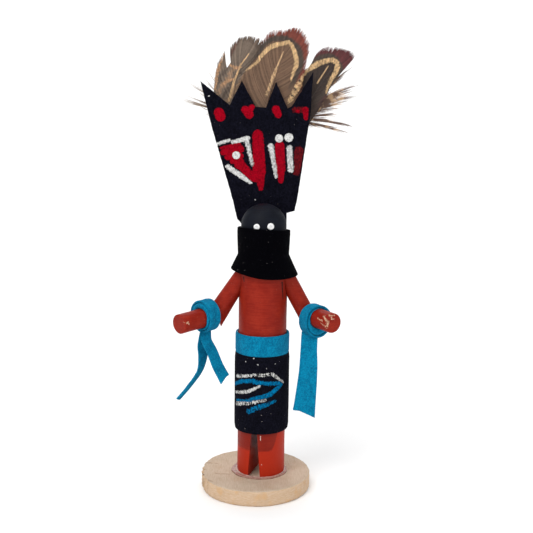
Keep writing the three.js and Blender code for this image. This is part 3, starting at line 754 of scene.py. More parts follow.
kilt = wrapPiece("kiltWrap", kiltWall, "black_suede", kiltSuede, ["kilt"], 16, 0.10, 1.0, hemRound=0.5, thick=1.2)
wrapPiece("beltStrip", beltWall, "turquoise_suede", turquoiseSuede, ["belt"], 8, 0.14, 2.0, seamAt=97.0, thick=1.0)
scarf = wrapPiece("scarfWrap", scarfWall, "black_suede", scarfSuede, ["scarf"], 18, 0.16, 3.0, 84.0, 0.25)
print("wraps made")

# sashes

sash = {"width": 5.0, "loop": 12.0, "sag": 0.7, "thick": 0.85, "around": 96, "steps": 44, "cells": 10, "hugging": 0.12,
        "tailCurl": 0.16, "loopCurl": 0.12}
# each tail's course: sideways, towards the front and down as shares of its length, then its turn and width
sashTails = {
    "right": [
        {"length": 20.5, "slant": 0.9, "course": [
            (0, 0, 0, 0, 5.0), (-0.03, 0.1, 0.175, 0.05, 4.8), (-0.135, 0.13, 0.385, 0.1, 4.8),
            (-0.24, 0.15, 0.65, 0.1, 5.0), (-0.375, 0.17, 0.9, 0.15, 5.2)]},
        {"length": 31.0, "slant": 0.0, "course": [
            (0, 0, 0, 0, 5.0), (0.04, -0.05, 0.2, 0.1, 4.6), (0.04, -0.06, 0.37, 0.1, 4.2),
            (0.085, -0.06, 0.555, -0.25, 3.2), (0.23, -0.05, 0.77, -0.35, 3.2), (0.35, -0.04, 0.916, -0.35, 3.2)]},
    ],
    "left": [
        {"length": 32.0, "slant": 1.5, "course": [
            (-0.065, 0, -0.05, 0.5, 6.6), (-0.075, 0.08, 0.15, 0.8, 6.4), (-0.08, 0.1, 0.45, 0.9, 7.2),
            (-0.12, 0.1, 0.94, 0.95, 8.8)]},
    ],
}


def bandSection(middle, across, face, half, thick, curl, seed):
    # the outline of a strip's cross-section, with soft corners and a slight curl
    top, bottom = [], []
    for cell in range(sash["cells"] + 1):
        share = -1 + 2 * cell / sash["cells"]
        soft = thick / 2 * (1 - 2.25 * max(0.0, abs(share) * 1.02 - 0.9))
        lift = curl * (share * share - 0.33) + 0.05 * wobble(middle.x + share * 3, middle.y, middle.z, 1.8, seed)
        spot = middle + across * half * share + face * lift
        top.append(spot + face * soft)
        bottom.append(spot - face * soft)
    return top + bottom[::-1]


def sashLoopMesh(line, arm, seed):
    s, forward, rise = sash, line["forward"], Vector((0, 0, arm["sashRise"]))
    axis = line["elbow"] + forward * arm["sashAt"]
    middle = axis + rise
    aside = forward.cross(Vector((0, 0, 1))).normalized()
    up = aside.cross(forward)
    inner = s["loop"] / 2 - s["thick"]
    outerTurn, firstTurn = [], []
    for angle in turnsOf(s["around"]):
        spoke = aside * math.cos(angle) + up * math.sin(angle)
        sag = s["sag"] * max(0.0, -math.sin(angle)) ** 2
        x, y = math.cos(angle) * 3, math.sin(angle) * 3
        radius = inner + s["thick"] / 2 + sag + 0.10 * wobble(x, y, 0, 1.5, seed)
        outerTurn.append(bandSection(middle + spoke * radius, forward, spoke, s["width"] / 2, s["thick"],
                                     s["loopCurl"], seed))
        # the strip's first turn fills the loop down to the forearm and shows past it towards the hand
        low = axis + spoke * (dowel["forearm"] + s["hugging"])
        high = middle + spoke * (inner + sag - 0.1 + 0.08 * wobble(x, y, 1, 1.2, seed))
        back = -s["width"] / 2 + 0.5
        ahead = s["width"] / 2 + arm["innerPast"] + 0.25 * wobble(x, y, 2, 1.4, seed)
        outline = [(back, 0.92), (back + 0.3, 1.0), (0.0, 1.0), (ahead - 0.9, 1.0), (ahead - 0.35, 0.9), (ahead, 0.6),
                   (ahead - 0.02, 0.3), (ahead - 0.3, 0.06), (ahead - 0.8, 0.0), (0.0, 0.0), (back + 0.3, 0.0),
                   (back, 0.1)]
        firstTurn.append([low.lerp(high, mix) + forward * along for along, mix in outline])
    return joined([skinOver(outerTurn, closed=True), skinOver(firstTurn, closed=True)])


def sashTailMesh(line, arm, tail, seed):
    s = sash
    foot = line["elbow"] + line["forward"] * arm["sashAt"] + Vector((0, 0, arm["sashRise"]))
    foot.z -= (s["loop"] - s["thick"]) / 2 + s["sag"]
    facing = Vector((arm["side"], 0, 0))
    flatForward = Vector((line["forward"].x, line["forward"].y, 0)).normalized()
    spots, acrosses, widths = [], [], []
    for drift, reach, fall, turn, width in tail["course"]:
        spots.append(foot + Vector((arm["side"] * drift, -reach, -fall)) * tail["length"])
        acrosses.append(flatForward.lerp(facing, turn).normalized())
        widths.append(width)
    sections = []
    for share in sharesOf(s["steps"]):
        point, heading, low, mix = smoothCourse(spots, share)
        across = acrosses[low].lerp(acrosses[low + 1], mix)
        across = (across - heading * across.dot(heading)).normalized()
        half = (widths[low] + (widths[low + 1] - widths[low]) * mix) / 2
        curl = s["tailCurl"] * math.sin(share * 5 + seed)
        sections.append(bandSection(point, across, heading.cross(across), half, s["thick"], curl, seed))
    # the end is cut at a slant
    slants = [tail["slant"] * (-1 + 2 * cell / s["cells"]) for cell in range(s["cells"] + 1)]
    sections[-1] = [spot + heading * slant for spot, slant in zip(sections[-1], slants + slants[::-1])]
    return skinOver(sections)


for side in ("right", "left"):
    line, arm = armLine(side), arms[side]
    tails = [sashTailMesh(line, arm, tail, 8.0 + number + arm["side"]) for number, tail in enumerate(sashTails[side])]
    strip = joined([sashLoopMesh(line, arm, 5.0 + arm["side"]), *tails])
    softenEdges(pieceFrom(f"{side}Sash", *strip, "turquoise_suede", turquoiseSuede, [f"{side}_sash"]), 0.18)
print("sashes made")

# crown

crownPlate = {"width": 43.9, "height": 65.0, "thick": 1.1, "foot": 99.7, "rightReach": 25.5, "front": 10.15,
              "tipsAbove": 144.0, "areasMeet": -5.0, "rimStep": 0.8, "rimShake": 0.13, "longestEdge": 1.6}
crownOutline = [
    (0.41, 0), (0.371, 0.085), (0.337, 0.111), (0.296, 0.226), (0.102, 0.668), (0, 0.937), (0.262, 0.798),
    (0.369, 0.943), (0.492, 0.789), (0.585, 0.785), (0.672, 0.938), (0.777, 0.782), (0.815, 0.795),
    (1, 1), (0.982, 0.751), (0.879, 0.237), (0.857, 0.165), (0.786, 0.152), (0.786, 0.085), (0.752, 0),
]
tallRed = [((-2.9, 140.0), (-2.1, 126.0), 4.3, 5.2, 0.2, 0.05), ((-2.1, 127.0), (-1.4, 119.2), 5.2, 2.0, 0.25, 0.05)]
betweenWhite = [((-7.2, 138.0), (-5.0, 128.6), 1.9, 1.3, 0.4, 0.35),
                ((-9.6, 124.2), (-5.5, 121.4), 2.1, 1.1, 0.3, 0.06)]
betweenRed = [((-9.6, 128.8), (-4.0, 123.0), 3.2, 2.6, 0.2, 0.05)]
# the crown's paint by area, because one material can't hold so many strokes
crownAreas = {
    "tips": [
        ("dullRed", [((11.6, 150.0), (15.8, 150.2), 2.3, 2.2, 0.35, 0.3)]),
        ("red", [((-18.2, 148.6), (-17.6, 147.2), 3.9, 4.1, 0.15, 0.0),
                 ((-8.0, 149.9), (-6.3, 148.0), 2.9, 3.4, 0.2, 0.0),
                 ((-6.9, 149.2), (-5.2, 150.9), 3.0, 2.1, 0.2, 0.0), ((4.1, 150.1), (5.0, 148.2), 3.2, 2.9, 0.2, 0.0),
                 ((12.3, 149.5), (12.9, 149.4), 1.3, 1.3, 0.2, 0.1),
                 ((15.6, 150.0), (15.9, 146.9), 2.5, 1.7, 0.2, 0.1)]),
        ("white", [dab((-22.2, 154.9), 0.5)])],
    "right": [
        ("red", [((-17.4, 134.9), (-10.6, 136.2), 0.9, 2.2, 0.2, 0.1),
                 ((-16.4, 133.2), (-9.6, 134.6), 2.4, 2.9, 0.2, 0.05),
                 ((-14.6, 131.4), (-9.9, 131.8), 2.6, 3.0, 0.2, 0.05),
                 ((-12.6, 129.9), (-9.4, 129.4), 2.4, 2.8, 0.2, 0.05),
                 ((-11.2, 128.0), (-7.6, 126.2), 1.6, 2.6, 0.2, 0.05),
                 ((-7.8, 125.6), (-3.4, 122.4), 2.4, 2.6, 0.2, 0.05),
                 *betweenRed, *tallRed]),
        ("white", [((-18.6, 136.5), (-14.1, 137.9), 1.2, 1.3, 0.35, 0.1),
                   ((-12.7, 137.3), (-6.8, 138.7), 1.4, 2.0, 0.3, 0.08),
                   ((-14.6, 127.6), (-9.6, 124.2), 1.9, 2.2, 0.3, 0.06), dab((-11.3, 132.1), 3.1, 0.12),
                   *betweenWhite])],
    "left": [
        ("dullRed", [((13.4, 134.0), (12.7, 125.6), 3.7, 2.4, 0.5, 0.3)]),
        ("red", [((5.8, 136.2), (6.1, 127.0), 3.6, 4.2, 0.25, 0.08), ((6.1, 128.0), (6.5, 122.4), 4.1, 2.2, 0.25, 0.1),
                 *betweenRed, *tallRed]),
        ("white", [((2.3, 135.8), (4.6, 123.9), 2.3, 1.3, 0.35, 0.2), dab((5.5, 138.9), 3.2, 0.12),
                   dab((9.3, 139.3), 3.5, 0.12),
                   ((9.6, 135.2), (10.3, 126.6), 2.3, 2.3, 0.35, 0.2), dab((-3.6, 114.7), 0.4), *betweenWhite])],
}
crownSuedes = [suedeMaterial(f"crownSuede{area.capitalize()}", blackTones, 0.5, 0.3, 0.015, paints, 10.9)
               for area, paints in crownAreas.items()]


def crownFront():
    # the plate's cut outline filled with small even triangles: its points, triangles and rim edges
    s = crownPlate
    outline = [Vector((across * s["width"] - s["rightReach"], 0, s["foot"] + up * s["height"]))
               for across, up in crownOutline]
    rim = []
    for first, second in zip(outline, outline[1:] + outline[:1]):
        pieces = max(2, int((second - first).length / s["rimStep"]))
        for part in range(pieces):
            spot = first.lerp(second, part / pieces)
            shake = s["rimShake"] if part else 0.0
            rim.append(spot + shake * Vector((wobble(spot.x, 0, spot.z, 1.1, 2), 0, wobble(spot.x, 0, spot.z, 1.1, 7))))
    shape = bmesh.new()
    face = shape.faces.new([shape.verts.new((spot.x, s["front"], spot.z)) for spot in rim])
    bmesh.ops.triangulate(shape, faces=[face])
    for turn in range(4):
        long = [e for e in shape.edges if e.calc_length() > s["longestEdge"] and len(e.link_faces) == 2]
        if long:
            bmesh.ops.subdivide_edges(shape, edges=long, cuts=1)
            bmesh.ops.triangulate(shape, faces=[f for f in shape.faces if len(f.verts) > 3])
    shape.verts.index_update()
    spots = [tuple(v.co) for v in shape.verts]
    tris = [tuple(v.index for v in f.verts) for f in shape.faces]
    edges = [tuple(v.index for v in e.verts) for e in shape.edges if len(e.link_faces) == 1]
    shape.free()
    return spots, tris, edges


def makeCrown():
    s = crownPlate
    front, tris, edges = crownFront()
    bows = [0.10 * wobble(x, 3.0, z, 9.0, 4.0) + 0.05 * wobble(x, 3.0, z, 3.0, 5.0) for x, y, z in front]
    points = [(x, y + max(0.0, 0.05 + bow), z) for (x, y, z), bow in zip(front, bows)]
    points += [(x, y + s["thick"] - max(0.0, 0.05 - bow), z) for (x, y, z), bow in zip(front, bows)]
    count = len(front)
    faces = tris + [tuple(index + count for index in tri[::-1]) for tri in tris]
    faces += [(a, b, b + count, a + count) for a, b in edges]
    crown = pieceFrom("crownPlate", points, faces, "black_suede", crownSuedes[0], ["crown"])
    for more in crownSuedes[1:]:
        crown.data.materials.append(more)
    for poly in crown.data.polygons:
        x, z = poly.center.x / mm - figureX, poly.center.z / mm
        poly.material_index = 0 if z > s["tipsAbove"] else 1 if x < s["areasMeet"] else 2
    softenEdges(crown, 0.16)
    return crown


crown = makeCrown()
print("crown made")

# feathers

featherLayers = {"first": 12.0, "pitch": 1.4, "cup": 0.5}   # depths behind the crown
# the shaft's three points in the crown's own heights, and each vane's edge from the quill to the tip
featherShapes = {
    "centre": {"layer": 0, "root": (-3, 28), "bend": (-2, 54), "tip": (11.3, 82.0), "edges": (
        [(-4, 130), (-10.5, 146), (-11.5, 156), (-8.5, 164.5), (-3.6, 172.5), (-1.2, 177.2), (2.3, 180.6), (7.2, 180.9),
         (11.2, 181.8)],
        [(-2, 130), (8.5, 144), (13.4, 154), (15.0, 163), (16.4, 170.5), (16.9, 175.5), (14.4, 180.5), (11.2, 181.8)])},
    "left": {"layer": 1, "root": (3, 29), "bend": (13, 51), "tip": (31.6, 73.6), "edges": (
        [(4, 130), (8.0, 148), (9.6, 156), (12.8, 163.4), (17.4, 168.0), (20.0, 172.6), (23.1, 174.6), (28.0, 174.6),
         (32.2, 173.4)],
        [(6, 130), (17.5, 145), (22.6, 153), (26.2, 160.3), (30.0, 165.2), (34.5, 170.6), (34.4, 172.4),
         (32.2, 173.4)])},
    "right": {"layer": 2, "root": (-12, 25), "bend": (-18, 51), "tip": (-6.2, 78.4), "edges": (
        [(-13, 126), (-20.2, 146), (-20.6, 157), (-19.6, 166.5), (-17.4, 171.6), (-15.0, 174.0), (-12.6, 176.2),
         (-9.8, 178.4), (-6.2, 178.6)],
        [(-11, 126), (-8.0, 146), (-4.5, 158), (-2.6, 168), (-1.6, 174), (-1.9, 177.4), (-6.2, 178.6)])},
}
barbs = {"perSide": 430, "cells": 10, "cover": 2.1, "shaftEnd": 0.84, "sweep": 0.85, "bow": 0.3, "taperFrom": 0.82,
         "jitter": 0.13, "split": (173.0, 174.9), "ribSteps": 40, "ribSides": 6, "fineSteps": 240}
bakeRows = barbs["perSide"] + 6


def bent(a, b, c, share):
    return a * (1 - share) ** 2 + b * (2 * share * (1 - share)) + c * share ** 2


def onShaft(shape, share):
    a, b, c = (Vector((x, z + crownPlate["foot"])) for x, z in (shape["root"], shape["bend"], shape["tip"]))
    return bent(a, b, c, share), ((b - a) * (1 - share) + (c - b) * share).normalized()


def lane(left, right, low, high):
    return [(left, low), (left, high), (right, high), (right, low)]


def ribbon(draft, line, widths, depths, row, rowsInAll, half):
    # one barb: a flat strip along a line in the feather's plane, with its own lane on the bake map
    points, faces, layout = draft
    start, last = len(points), len(line) - 1
    for index, (spot, width, depth) in enumerate(zip(line, widths, depths)):
        along = (line[min(last, index + 1)] - line[max(0, index - 1)]).normalized()
        across = Vector((along.y, -along.x)) * width / 2
        points += [(spot.x - across.x, depth, spot.y - across.y), (spot.x + across.x, depth, spot.y + across.y)]
    for index in range(last):
        a = start + 2 * index
        faces.append((a, a + 1, a + 3, a + 2))
        left, right = (half[0] + (half[1] - half[0]) * place / last for place in (index, index + 1))
        layout += lane(left, right, (row + 0.12) / rowsInAll, (row + 0.88) / rowsInAll)


def featherPiece(name, draft, mat, node):
    points, faces, layout = draft
    piece = pieceFrom(name, points, faces, "feather", mat, [node], solid=False)
    for loop, spot in zip(piece.data.uv_layers.new(name="OFBake").data, layout):
        loop.uv = spot


def evenly(edge, count):
    # points at even steps along a smooth line through the edge's points
    spots, steps = [Vector(spot) for spot in edge], barbs["fineSteps"]
    fine = [smoothCourse(spots, share)[0] for share in sharesOf(steps)]
    far = [0.0]
    for before, after in zip(fine, fine[1:]):
        far.append(far[-1] + (after - before).length)
    made, place = [], 0
    for step in range(count):
        goal = far[-1] * step / (count - 1)
        while place < steps - 1 and far[place + 1] < goal:
            place += 1
        mix = (goal - far[place]) / max(1e-9, far[place + 1] - far[place])
        made.append(fine[place].lerp(fine[place + 1], mix))
    return made


def barbRoots(shape, ends, length):
    # how far up the shaft each barb starts: below its end, and never past the shaft's own end
    known, every = [], 10
    shaft = [(share, onShaft(shape, share)[0]) for share in sharesOf(barbs["fineSteps"])]
    for end in ends[::every]:
        share, spot = min(shaft, key=lambda place: (place[1] - end).length)
        known.append(max(0.0, share - barbs["sweep"] * (spot - end).length / length) * barbs["shaftEnd"])
    known = [sum(near) / len(near) for near in (known[max(0, i - 2):i + 3] for i in range(len(known)))]
    roots = []
    for number in range(len(ends)):
        low = min(len(known) - 2, number // every)
        roots.append(known[low] + (known[low + 1] - known[low]) * (number / every - low))
    return roots


def barbLine(shape, side, end, root, shares):
    # a barb curves from its root on the shaft towards the feather's tip
    foot, heading = onShaft(shape, min(root, 1.0))
    outward = Vector((heading.y, -heading.x)) * side
    middle = foot.lerp(end, 0.5) + outward * max(0.0, (end - foot).dot(outward)) * barbs["bow"]
    return [bent(foot, middle, end, share) for share in shares]


def addVane(draft, name, side, depth, rng):
    shape, count, shares = featherShapes[name], barbs["perSide"], sharesOf(barbs["cells"])
    length = (Vector(shape["tip"]) - Vector(shape["root"])).length
    ends = evenly(shape["edges"][0 if side < 0 else 1], count)
    roots = barbRoots(shape, ends, length)
    taper = barbs["taperFrom"]
    cover = barbs["cover"] * length / count
    widths = [cover * (1.0 if share < taper else 1 - 0.8 * (share - taper) / (1 - taper)) for share in shares]
    clumpLeft = 0
    for number in range(count):
        if clumpLeft <= 0:
            # barbs cling together towards their ends
            clumpLeft = rng.randint(5, 15)
            centre = min(count - 1, int(number + clumpLeft / 2))
            clumpPull, clumpShort = rng.uniform(0.0, 0.5), rng.uniform(0.985, 1.005)
            mate = barbLine(shape, side, ends[centre], roots[centre], shares)
        clumpLeft -= 1
        line = barbLine(shape, side, ends[number], roots[number], shares)
        atTip = number / (count - 1) > 0.3
        reach = clumpShort * (1 - 0.07 * rng.random() ** 2) * (1 if atTip else rng.uniform(0.75, 1.05))
        if name == "right" and side < 0 and barbs["split"][0] < ends[number].y < barbs["split"][1]:
            reach *= 0.45   # the vane is split here
        drawn = []
        for spot, target, share in zip(line, mate, shares):
            moved = spot.lerp(target, 0.6 * clumpPull * max(0.0, share - 0.75) / 0.25)
            if share > 0.5:
                moved = moved + (line[0] - moved) * (1 - reach) * (share - 0.5) * 2
            drawn.append(moved)
        jitter = rng.uniform(-barbs["jitter"], barbs["jitter"])
        depths = [depth + featherLayers["cup"] * share ** 2 + jitter * (0.4 + 0.6 * share) for share in shares]
        ribbon(draft, drawn, widths, depths, number, bakeRows, (0.02, 0.48) if side < 0 else (0.52, 0.98))


def addShaft(draft, shape, depth):
    # a tapering six-sided rib that stands proud of the barbs, in front and behind
    points, faces, layout = draft
    start, steps, sides = len(points), barbs["ribSteps"], barbs["ribSides"]
    for along in sharesOf(steps):
        share = -0.05 + (barbs["shaftEnd"] + 0.05) * along
        spot, heading = onShaft(shape, share)
        half = 0.42 * (1 - share) ** 0.8 + 0.10
        for angle in turnsOf(sides):
            side = Vector((heading.y, -heading.x)) * math.cos(angle) * half
            points.append((spot.x + side.x, depth + math.sin(angle) * half - 0.05, spot.y + side.y))
    for step in range(steps):
        for turn in range(sides):
            a, b = start + step * sides + turn, start + step * sides + (turn + 1) % sides
            faces.append((a, b, b + sides, a + sides))
            row = barbs["perSide"] + 1 + turn * 0.8
            layout += lane(0.02 + 0.96 * step / steps, 0.02 + 0.96 * (step + 1) / steps, row / bakeRows,
                           (row + 0.7) / bakeRows)


def makeFeather(name, mat):
    shape, draft = featherShapes[name], ([], [], [])
    rng = random.Random(len(name) * 7 + 3)
    depth = featherLayers["first"] + shape["layer"] * featherLayers["pitch"]
    for side in (-1, 1):
        addVane(draft, name, side, depth, rng)
    addShaft(draft, shape, depth)
    featherPiece(f"{name}Feather", draft, mat, f"{name}_feather")


def chevronBars(n, colour, flat, level, s):
    # slanting bars that meet at the shaft
    local = n.parts(n.mapped(flat, rotation=(0, 0, math.radians(s["turn"])), location=s["shift"]))
    slanted = n.minus(local[1], n.times(n.math("ABSOLUTE", local[0]), 0.7))
    uneven = n.plus(slanted, n.times(n.noise(flat, 0.6, 4.0, 0.7), 5.0))
    wave = n.math("SINE", n.times(uneven, 2 * math.pi / s["apart"]))
    below = n.ramp(level, s["top"] + 1.5, s["top"] - 1.5)
    for low, high, share, tone in ((0.35, 0.8, 0.4, "orange"), (-0.4, -0.85, 0.6, "ring")):
        bar = n.times(n.ramp(wave, low, high), below)
        colour = n.mix(n.times(bar, share), colour, colours[tone])
    return colour


def featherMaterial(name, bars, paints, shaft, chevrons=None):
    n = startMaterial(name, 0.62, sheen=0.15, specular=0.35)
    parts = n.parts(n.millimetres())
    flat = n.flat(parts)
    barred = n.group(featherBars, {
        "Spot": flat, "Start": bars["start"], "End": bars["end"], "Reach": bars["reach"],
        "Start Reach": bars["startReach"], "Ring": bars["ring"], "Inside": colours[bars["inside"]],
        "Ring Colour": colours[bars["ringTone"]], "Tip": colours[bars["tip"]], "Mottle": bars["mottle"],
        "Open Below": bars["openBelow"]})
    colour = barred["Colour"]
    if chevrons:
        colour = chevronBars(n, colour, flat, parts[2], chevrons)
    hair = n.group(brushHair, {"Spot": flat})
    for paint, strokes in [*paints, ("shaft", shaft)]:
        colour = n.mix(n.strokes(flat, hair, strokes), colour, colours[paint])
    low = n.ramp(parts[2], bars["downBelow"] + 4, bars["downBelow"] - 6, 0.0, 0.75)
    colour = n.mix(low, colour, colours["down"])
    # each barb has its own lane on the bake map, and so its own tone
    across = n.parts(n.add("UVMap", uv_map="OFBake").outputs[0])[1]
    barb = n.math("FLOOR", n.times(across, float(bakeRows)))
    own = n.add("TexWhiteNoise", {"W": barb}, noise_dimensions="1D").outputs["Value"]
    near = n.add("TexNoise", {"W": barb, "Scale": 0.11, "Detail": 2.0}, noise_dimensions="1D").outputs["Fac"]
    uneven = n.plus(n.ramp(own, 0.0, 1.0, -0.16, 0.16), n.ramp(near, 0.3, 0.7, -0.22, 0.22))
    streak = n.plus(n.ramp(barred["Streaks"], 0.45, 1.0, 0.75, 1.2), uneven)
    return n.finish(n.scaled(colour, streak), barred["Streaks"], 0.1, 0.5)


centreArch = [(-10.4, 163.8), (-4.1, 167.5), (-2.0, 170.6), (2.1, 174.3), (5.8, 175.1), (9.0, 175.9), (11.0, 172.3),
              (11.9, 167.7), (10.9, 165.1), (9.9, 161.5)]
leftArch = [(9.6, 153.2), (11.0, 158.9), (13.1, 162.6), (15.9, 165.7), (18.3, 166.8), (21.6, 168.6), (26.1, 169.6),
            (28.0, 167.7), (27.2, 164.8), (24.7, 160.2), (23.8, 156.8)]
# the field inside the bars runs from start to end; the ring and the tip lie round it
featherLooks = {
    "centre": {
        "bars": {"start": (-1.5, 158.0), "end": (5.2, 169.0), "startReach": 9.4, "reach": 7.5, "ring": 2.1,
                 "mottle": 0.15,
                 "inside": "greyBrown", "ringTone": "ring", "tip": "redTip", "downBelow": 150.0, "openBelow": 163.0},
        "paints": [("tan", runOf(centreArch, (0.5, 1.0, 1.4, 1.7, 1.6, 1.2, 1.7, 1.7, 1.4, 0.5), 0.3, 0.25, 16)),
                   ("darkBrown", [((-6.5, 152.5), (-2.0, 149.5), 2.6, 1.4, 0.9, 0.6)]),
                   ("tan", runOf([(15.2, 163.4), (12.6, 159.2), (9.4, 153.4)], (1.8, 2.4, 1.6), 0.5, 0.5)),
                   ("ring", [dab((13.3, 161.2), 0.9, 0.5), dab((11.4, 158.2), 1.0, 0.5),
                             dab((10.4, 155.6), 0.8, 0.5)])],
        "shaft": [((6.6, 172.2), (3.8, 165.5), 0.35, 0.6, 0.05, 0.0),
                  ((3.8, 165.5), (0.3, 155.7), 1.2, 0.9, 0.35, 0.35)]},
    "left": {
        "bars": {"start": (14.5, 155.5), "end": (23.6, 165.6), "startReach": 4.6, "reach": 4.5, "ring": 2.0,
                 "mottle": 0.12,
                 "inside": "darkInside", "ringTone": "ring", "tip": "darkRedTip", "downBelow": 144.0,
                 "openBelow": 159.0},
        "paints": [("tan", runOf(leftArch, (1.4, 2.4, 2.3, 2.2, 2.1, 2.0, 1.6, 2.0, 1.8, 1.4, 0.5), 0.35, 0.35, 16))],
        "shaft": [((24.3, 167.1), (20.2, 160.6), 0.4, 0.6, 0.05, 0.0)]},
    "right": {
        "bars": {"start": (-16.5, 150.0), "end": (-9.0, 170.5), "startReach": 8.0, "reach": 6.0, "ring": 2.5,
                 "mottle": 0.30,
                 "inside": "grey", "ringTone": "paleRing", "tip": "brownTip", "downBelow": 151.0, "openBelow": 150.0},
        "paints": [("orange", [*runOf([(-14.9, 167.6), (-12.2, 166.1), (-10.1, 166.6)], (0.8, 1.1, 0.8), 0.3, 0.35),
                               *runOf([(-17.6, 159.4), (-14.6, 161.2), (-12.6, 161.9)], (0.8, 1.2, 0.8), 0.3, 0.35),
                               *runOf([(-20.0, 158.0), (-19.4, 164.5), (-16.6, 171.4)], (1.2, 1.5, 0.6), 0.4, 0.5)]),
                   ("darkBrown", runOf([(-15.2, 166.0), (-14.0, 171.0), (-11.0, 176.8)], (0.5, 1.1, 1.3), 0.4, 0.35))],
        "shaft": runOf([(-14.5, 153.4), (-12.5, 161.2), (-9.9, 167.4), (-6.8, 171.6)], (1.0, 0.9, 0.7, 0.3), 0.1, 0.1),
        "chevrons": {"turn": -22, "shift": (14.5, 0.0), "apart": 6.0, "top": 166.0}},
}
for name, look in featherLooks.items():
    makeFeather(name, featherMaterial(f"{name}FeatherBarbs", **look))
print("feathers made")

# loose downy barbs past the crown's sides; each tip is (place, bend sideways, fullness)
plumes = {
    "left": {"root": (10.0, 146.0), "seed": 5, "looks": ("brownWisps", (0.15, 0.088, 0.065), (0.50, 0.32, 0.18)),
             "tips": [
        ((34.2, 167.2), 0.8, 7), ((31.0, 164.4), 0.5, 7), ((36.8, 160.2), 1.8, 9), ((35.0, 158.0), 1.6, 8),
        ((36.2, 155.8), 2.0, 8),
        ((31.5, 158.9), 1.0, 8), ((32.8, 154.0), 1.0, 8), ((30.0, 151.2), 1.2, 8), ((28.5, 148.6), 0.9, 7),
        ((35.0, 143.8), 1.4, 4),
        ((33.4, 141.3), 0.8, 3), ((26.0, 158.5), 0.2, 8), ((25.5, 146.3), 0.6, 7), ((23.0, 143.6), 0.2, 6),
        ((27.5, 155.0), 0.6, 9)]},
    "right": {"root": (-8.0, 145.0), "seed": 6, "looks": ("greyWisps", (0.36, 0.28, 0.215), (0.20, 0.13, 0.09)),
              "tips": [
        ((-30.6, 160.2), -1.0, 6), ((-33.3, 153.6), -0.8, 5), ((-31.0, 155.0), -0.5, 3), ((-26.5, 156.4), -0.5, 6),
        ((-22.8, 164.6), 0.6, 4), ((-24.0, 161.8), 0.3, 4), ((-25.8, 150.9), 0.6, 6), ((-23.8, 148.0), 0.6, 6),
        ((-22.4, 145.0), 0.8, 5)]},
}
wisp = {"layer": 3, "perFullness": 7, "mainWidth": 0.45, "width": 0.24, "cells": 8, "fan": 0.75, "depthJitter": 0.28}


def wispMaterial(name, base, mark):
    n = startMaterial(name, 0.65, sheen=0.2, specular=0.3)
    bands = n.noise(n.millimetres(), 0.34, 3.0, 0.6)
    return n.finish(n.mix(n.ramp(bands, 0.5, 0.62), base, mark), bands, 0.05, 0.3)


def makePlume(name, plume):
    rng, root, draft, row = random.Random(plume["seed"]), Vector(plume["root"]), ([], [], []), 0
    depth = featherLayers["first"] + wisp["layer"] * featherLayers["pitch"]
    rowsInAll = sum(1 + full * wisp["perFullness"] for tip, bow, full in plume["tips"]) + 2
    shares = sharesOf(wisp["cells"])
    for tip, bow, full in plume["tips"]:
        span = Vector(tip) - root
        sideways = Vector((-span.y, span.x)).normalized()
        for number in range(1 + full * wisp["perFullness"]):
            main = number == 0
            stop = 1.0 if main else rng.uniform(0.45, 0.97)
            start = rng.uniform(-0.02, 0.12) if main else rng.uniform(0.0, max(0.05, stop - 0.35))
            fan = 0 if main else rng.gauss(0, wisp["fan"])
            line = []
            for cell in shares:
                share = start + (stop - start) * cell
                drift = fan * (0.10 + 1.25 * ((share - start) / (stop - start + 0.01)) ** 1.6 * (1 - 0.45 * share))
                line.append(root + span * share + sideways * (bow * 3.2 * share * (1 - share) + drift))
            widths = [wisp["mainWidth" if main else "width"] * (1 - 0.75 * cell ** 1.4) for cell in shares]
            offset = rng.uniform(-wisp["depthJitter"], wisp["depthJitter"])
            depths = [depth + offset + 0.4 * cell for cell in shares]
            ribbon(draft, line, widths, depths, row, rowsInAll, (0.02, 0.98))
            row += 1
    featherPiece(f"{name}Plume", draft, wispMaterial(*plume["looks"]), f"{name}_plume")


for name, plume in plumes.items():
    makePlume(name, plume)
print("plumes made")

# small trim

eye = {"apart": 2.65, "height": 106.1, "radius": 1.25, "raised": 0.28, "around": 28,
       "rings": [(0.22, 0.5), (0.4, 0.95), (0.62, 1.0), (0.82, 0.8), (0.95, 0.4), (1.0, -0.4)]}
glue = {"around": 240, "section": 14, "under": 0.25, "wide": 1.0, "wideRight": 1.25, "sunk": 0.12}


def onHead(x, z, out):
    share = min(0.98, max(0.0, (z - discTop - dowel["domeFoot"]) / dowel["domeRise"]))
    radius = dowel["head"] * math.sqrt(1 - share * share)
    y = -math.sqrt(max(0.01, radius ** 2 - x ** 2))
    return (x * (1 + out / dowel["head"]), y - out, z + out * share)


def eyeMaterial(name, x, z):
    n = startMaterial(f"{name}Paint", 0.45)
    spot = n.millimetres()
    gone = n.vector("DISTANCE", n.flat(n.parts(spot)), (x, z, 0))
    # a grey ring painted round the dimple: painted shade in the hollow
    dimpleShade = n.times(n.ramp(gone, 0.15, 0.3), n.ramp(gone, 0.55, 0.4))
    grit = n.noise(spot, 2.0, 3.0)
    base = n.mix(n.ramp(grit, 0.3, 0.8), colours["eyeWhite"], colours["eyeGrit"])
    return n.finish(n.mix(n.times(dimpleShade, 0.5), base, colours["eyeDimpleShade"]), grit, 0.05, 0.5)


def makeEye(name, x, z, size):
    # a dab of thick white paint with a dimple, following the head
    rows, around = [], eye["around"]
    for share, out in eye["rings"]:
        row = []
        for angle in turnsOf(around):
            reach = size * share * (1 + 0.06 * wobble(math.cos(angle), math.sin(angle), x, 0.8, 2))
            row.append(onHead(x + reach * math.cos(angle), z + reach * math.sin(angle), eye["raised"] * out))
        rows.append(row)
    points, faces = skinOver(rows, capped=False)
    faces += [(len(points), step, (step + 1) % around) for step in range(around)]
    points.append(onHead(x, z, eye["raised"] * 0.45))
    pieceFrom(name, points, faces, "terracotta_paint", eyeMaterial(name, x, z))


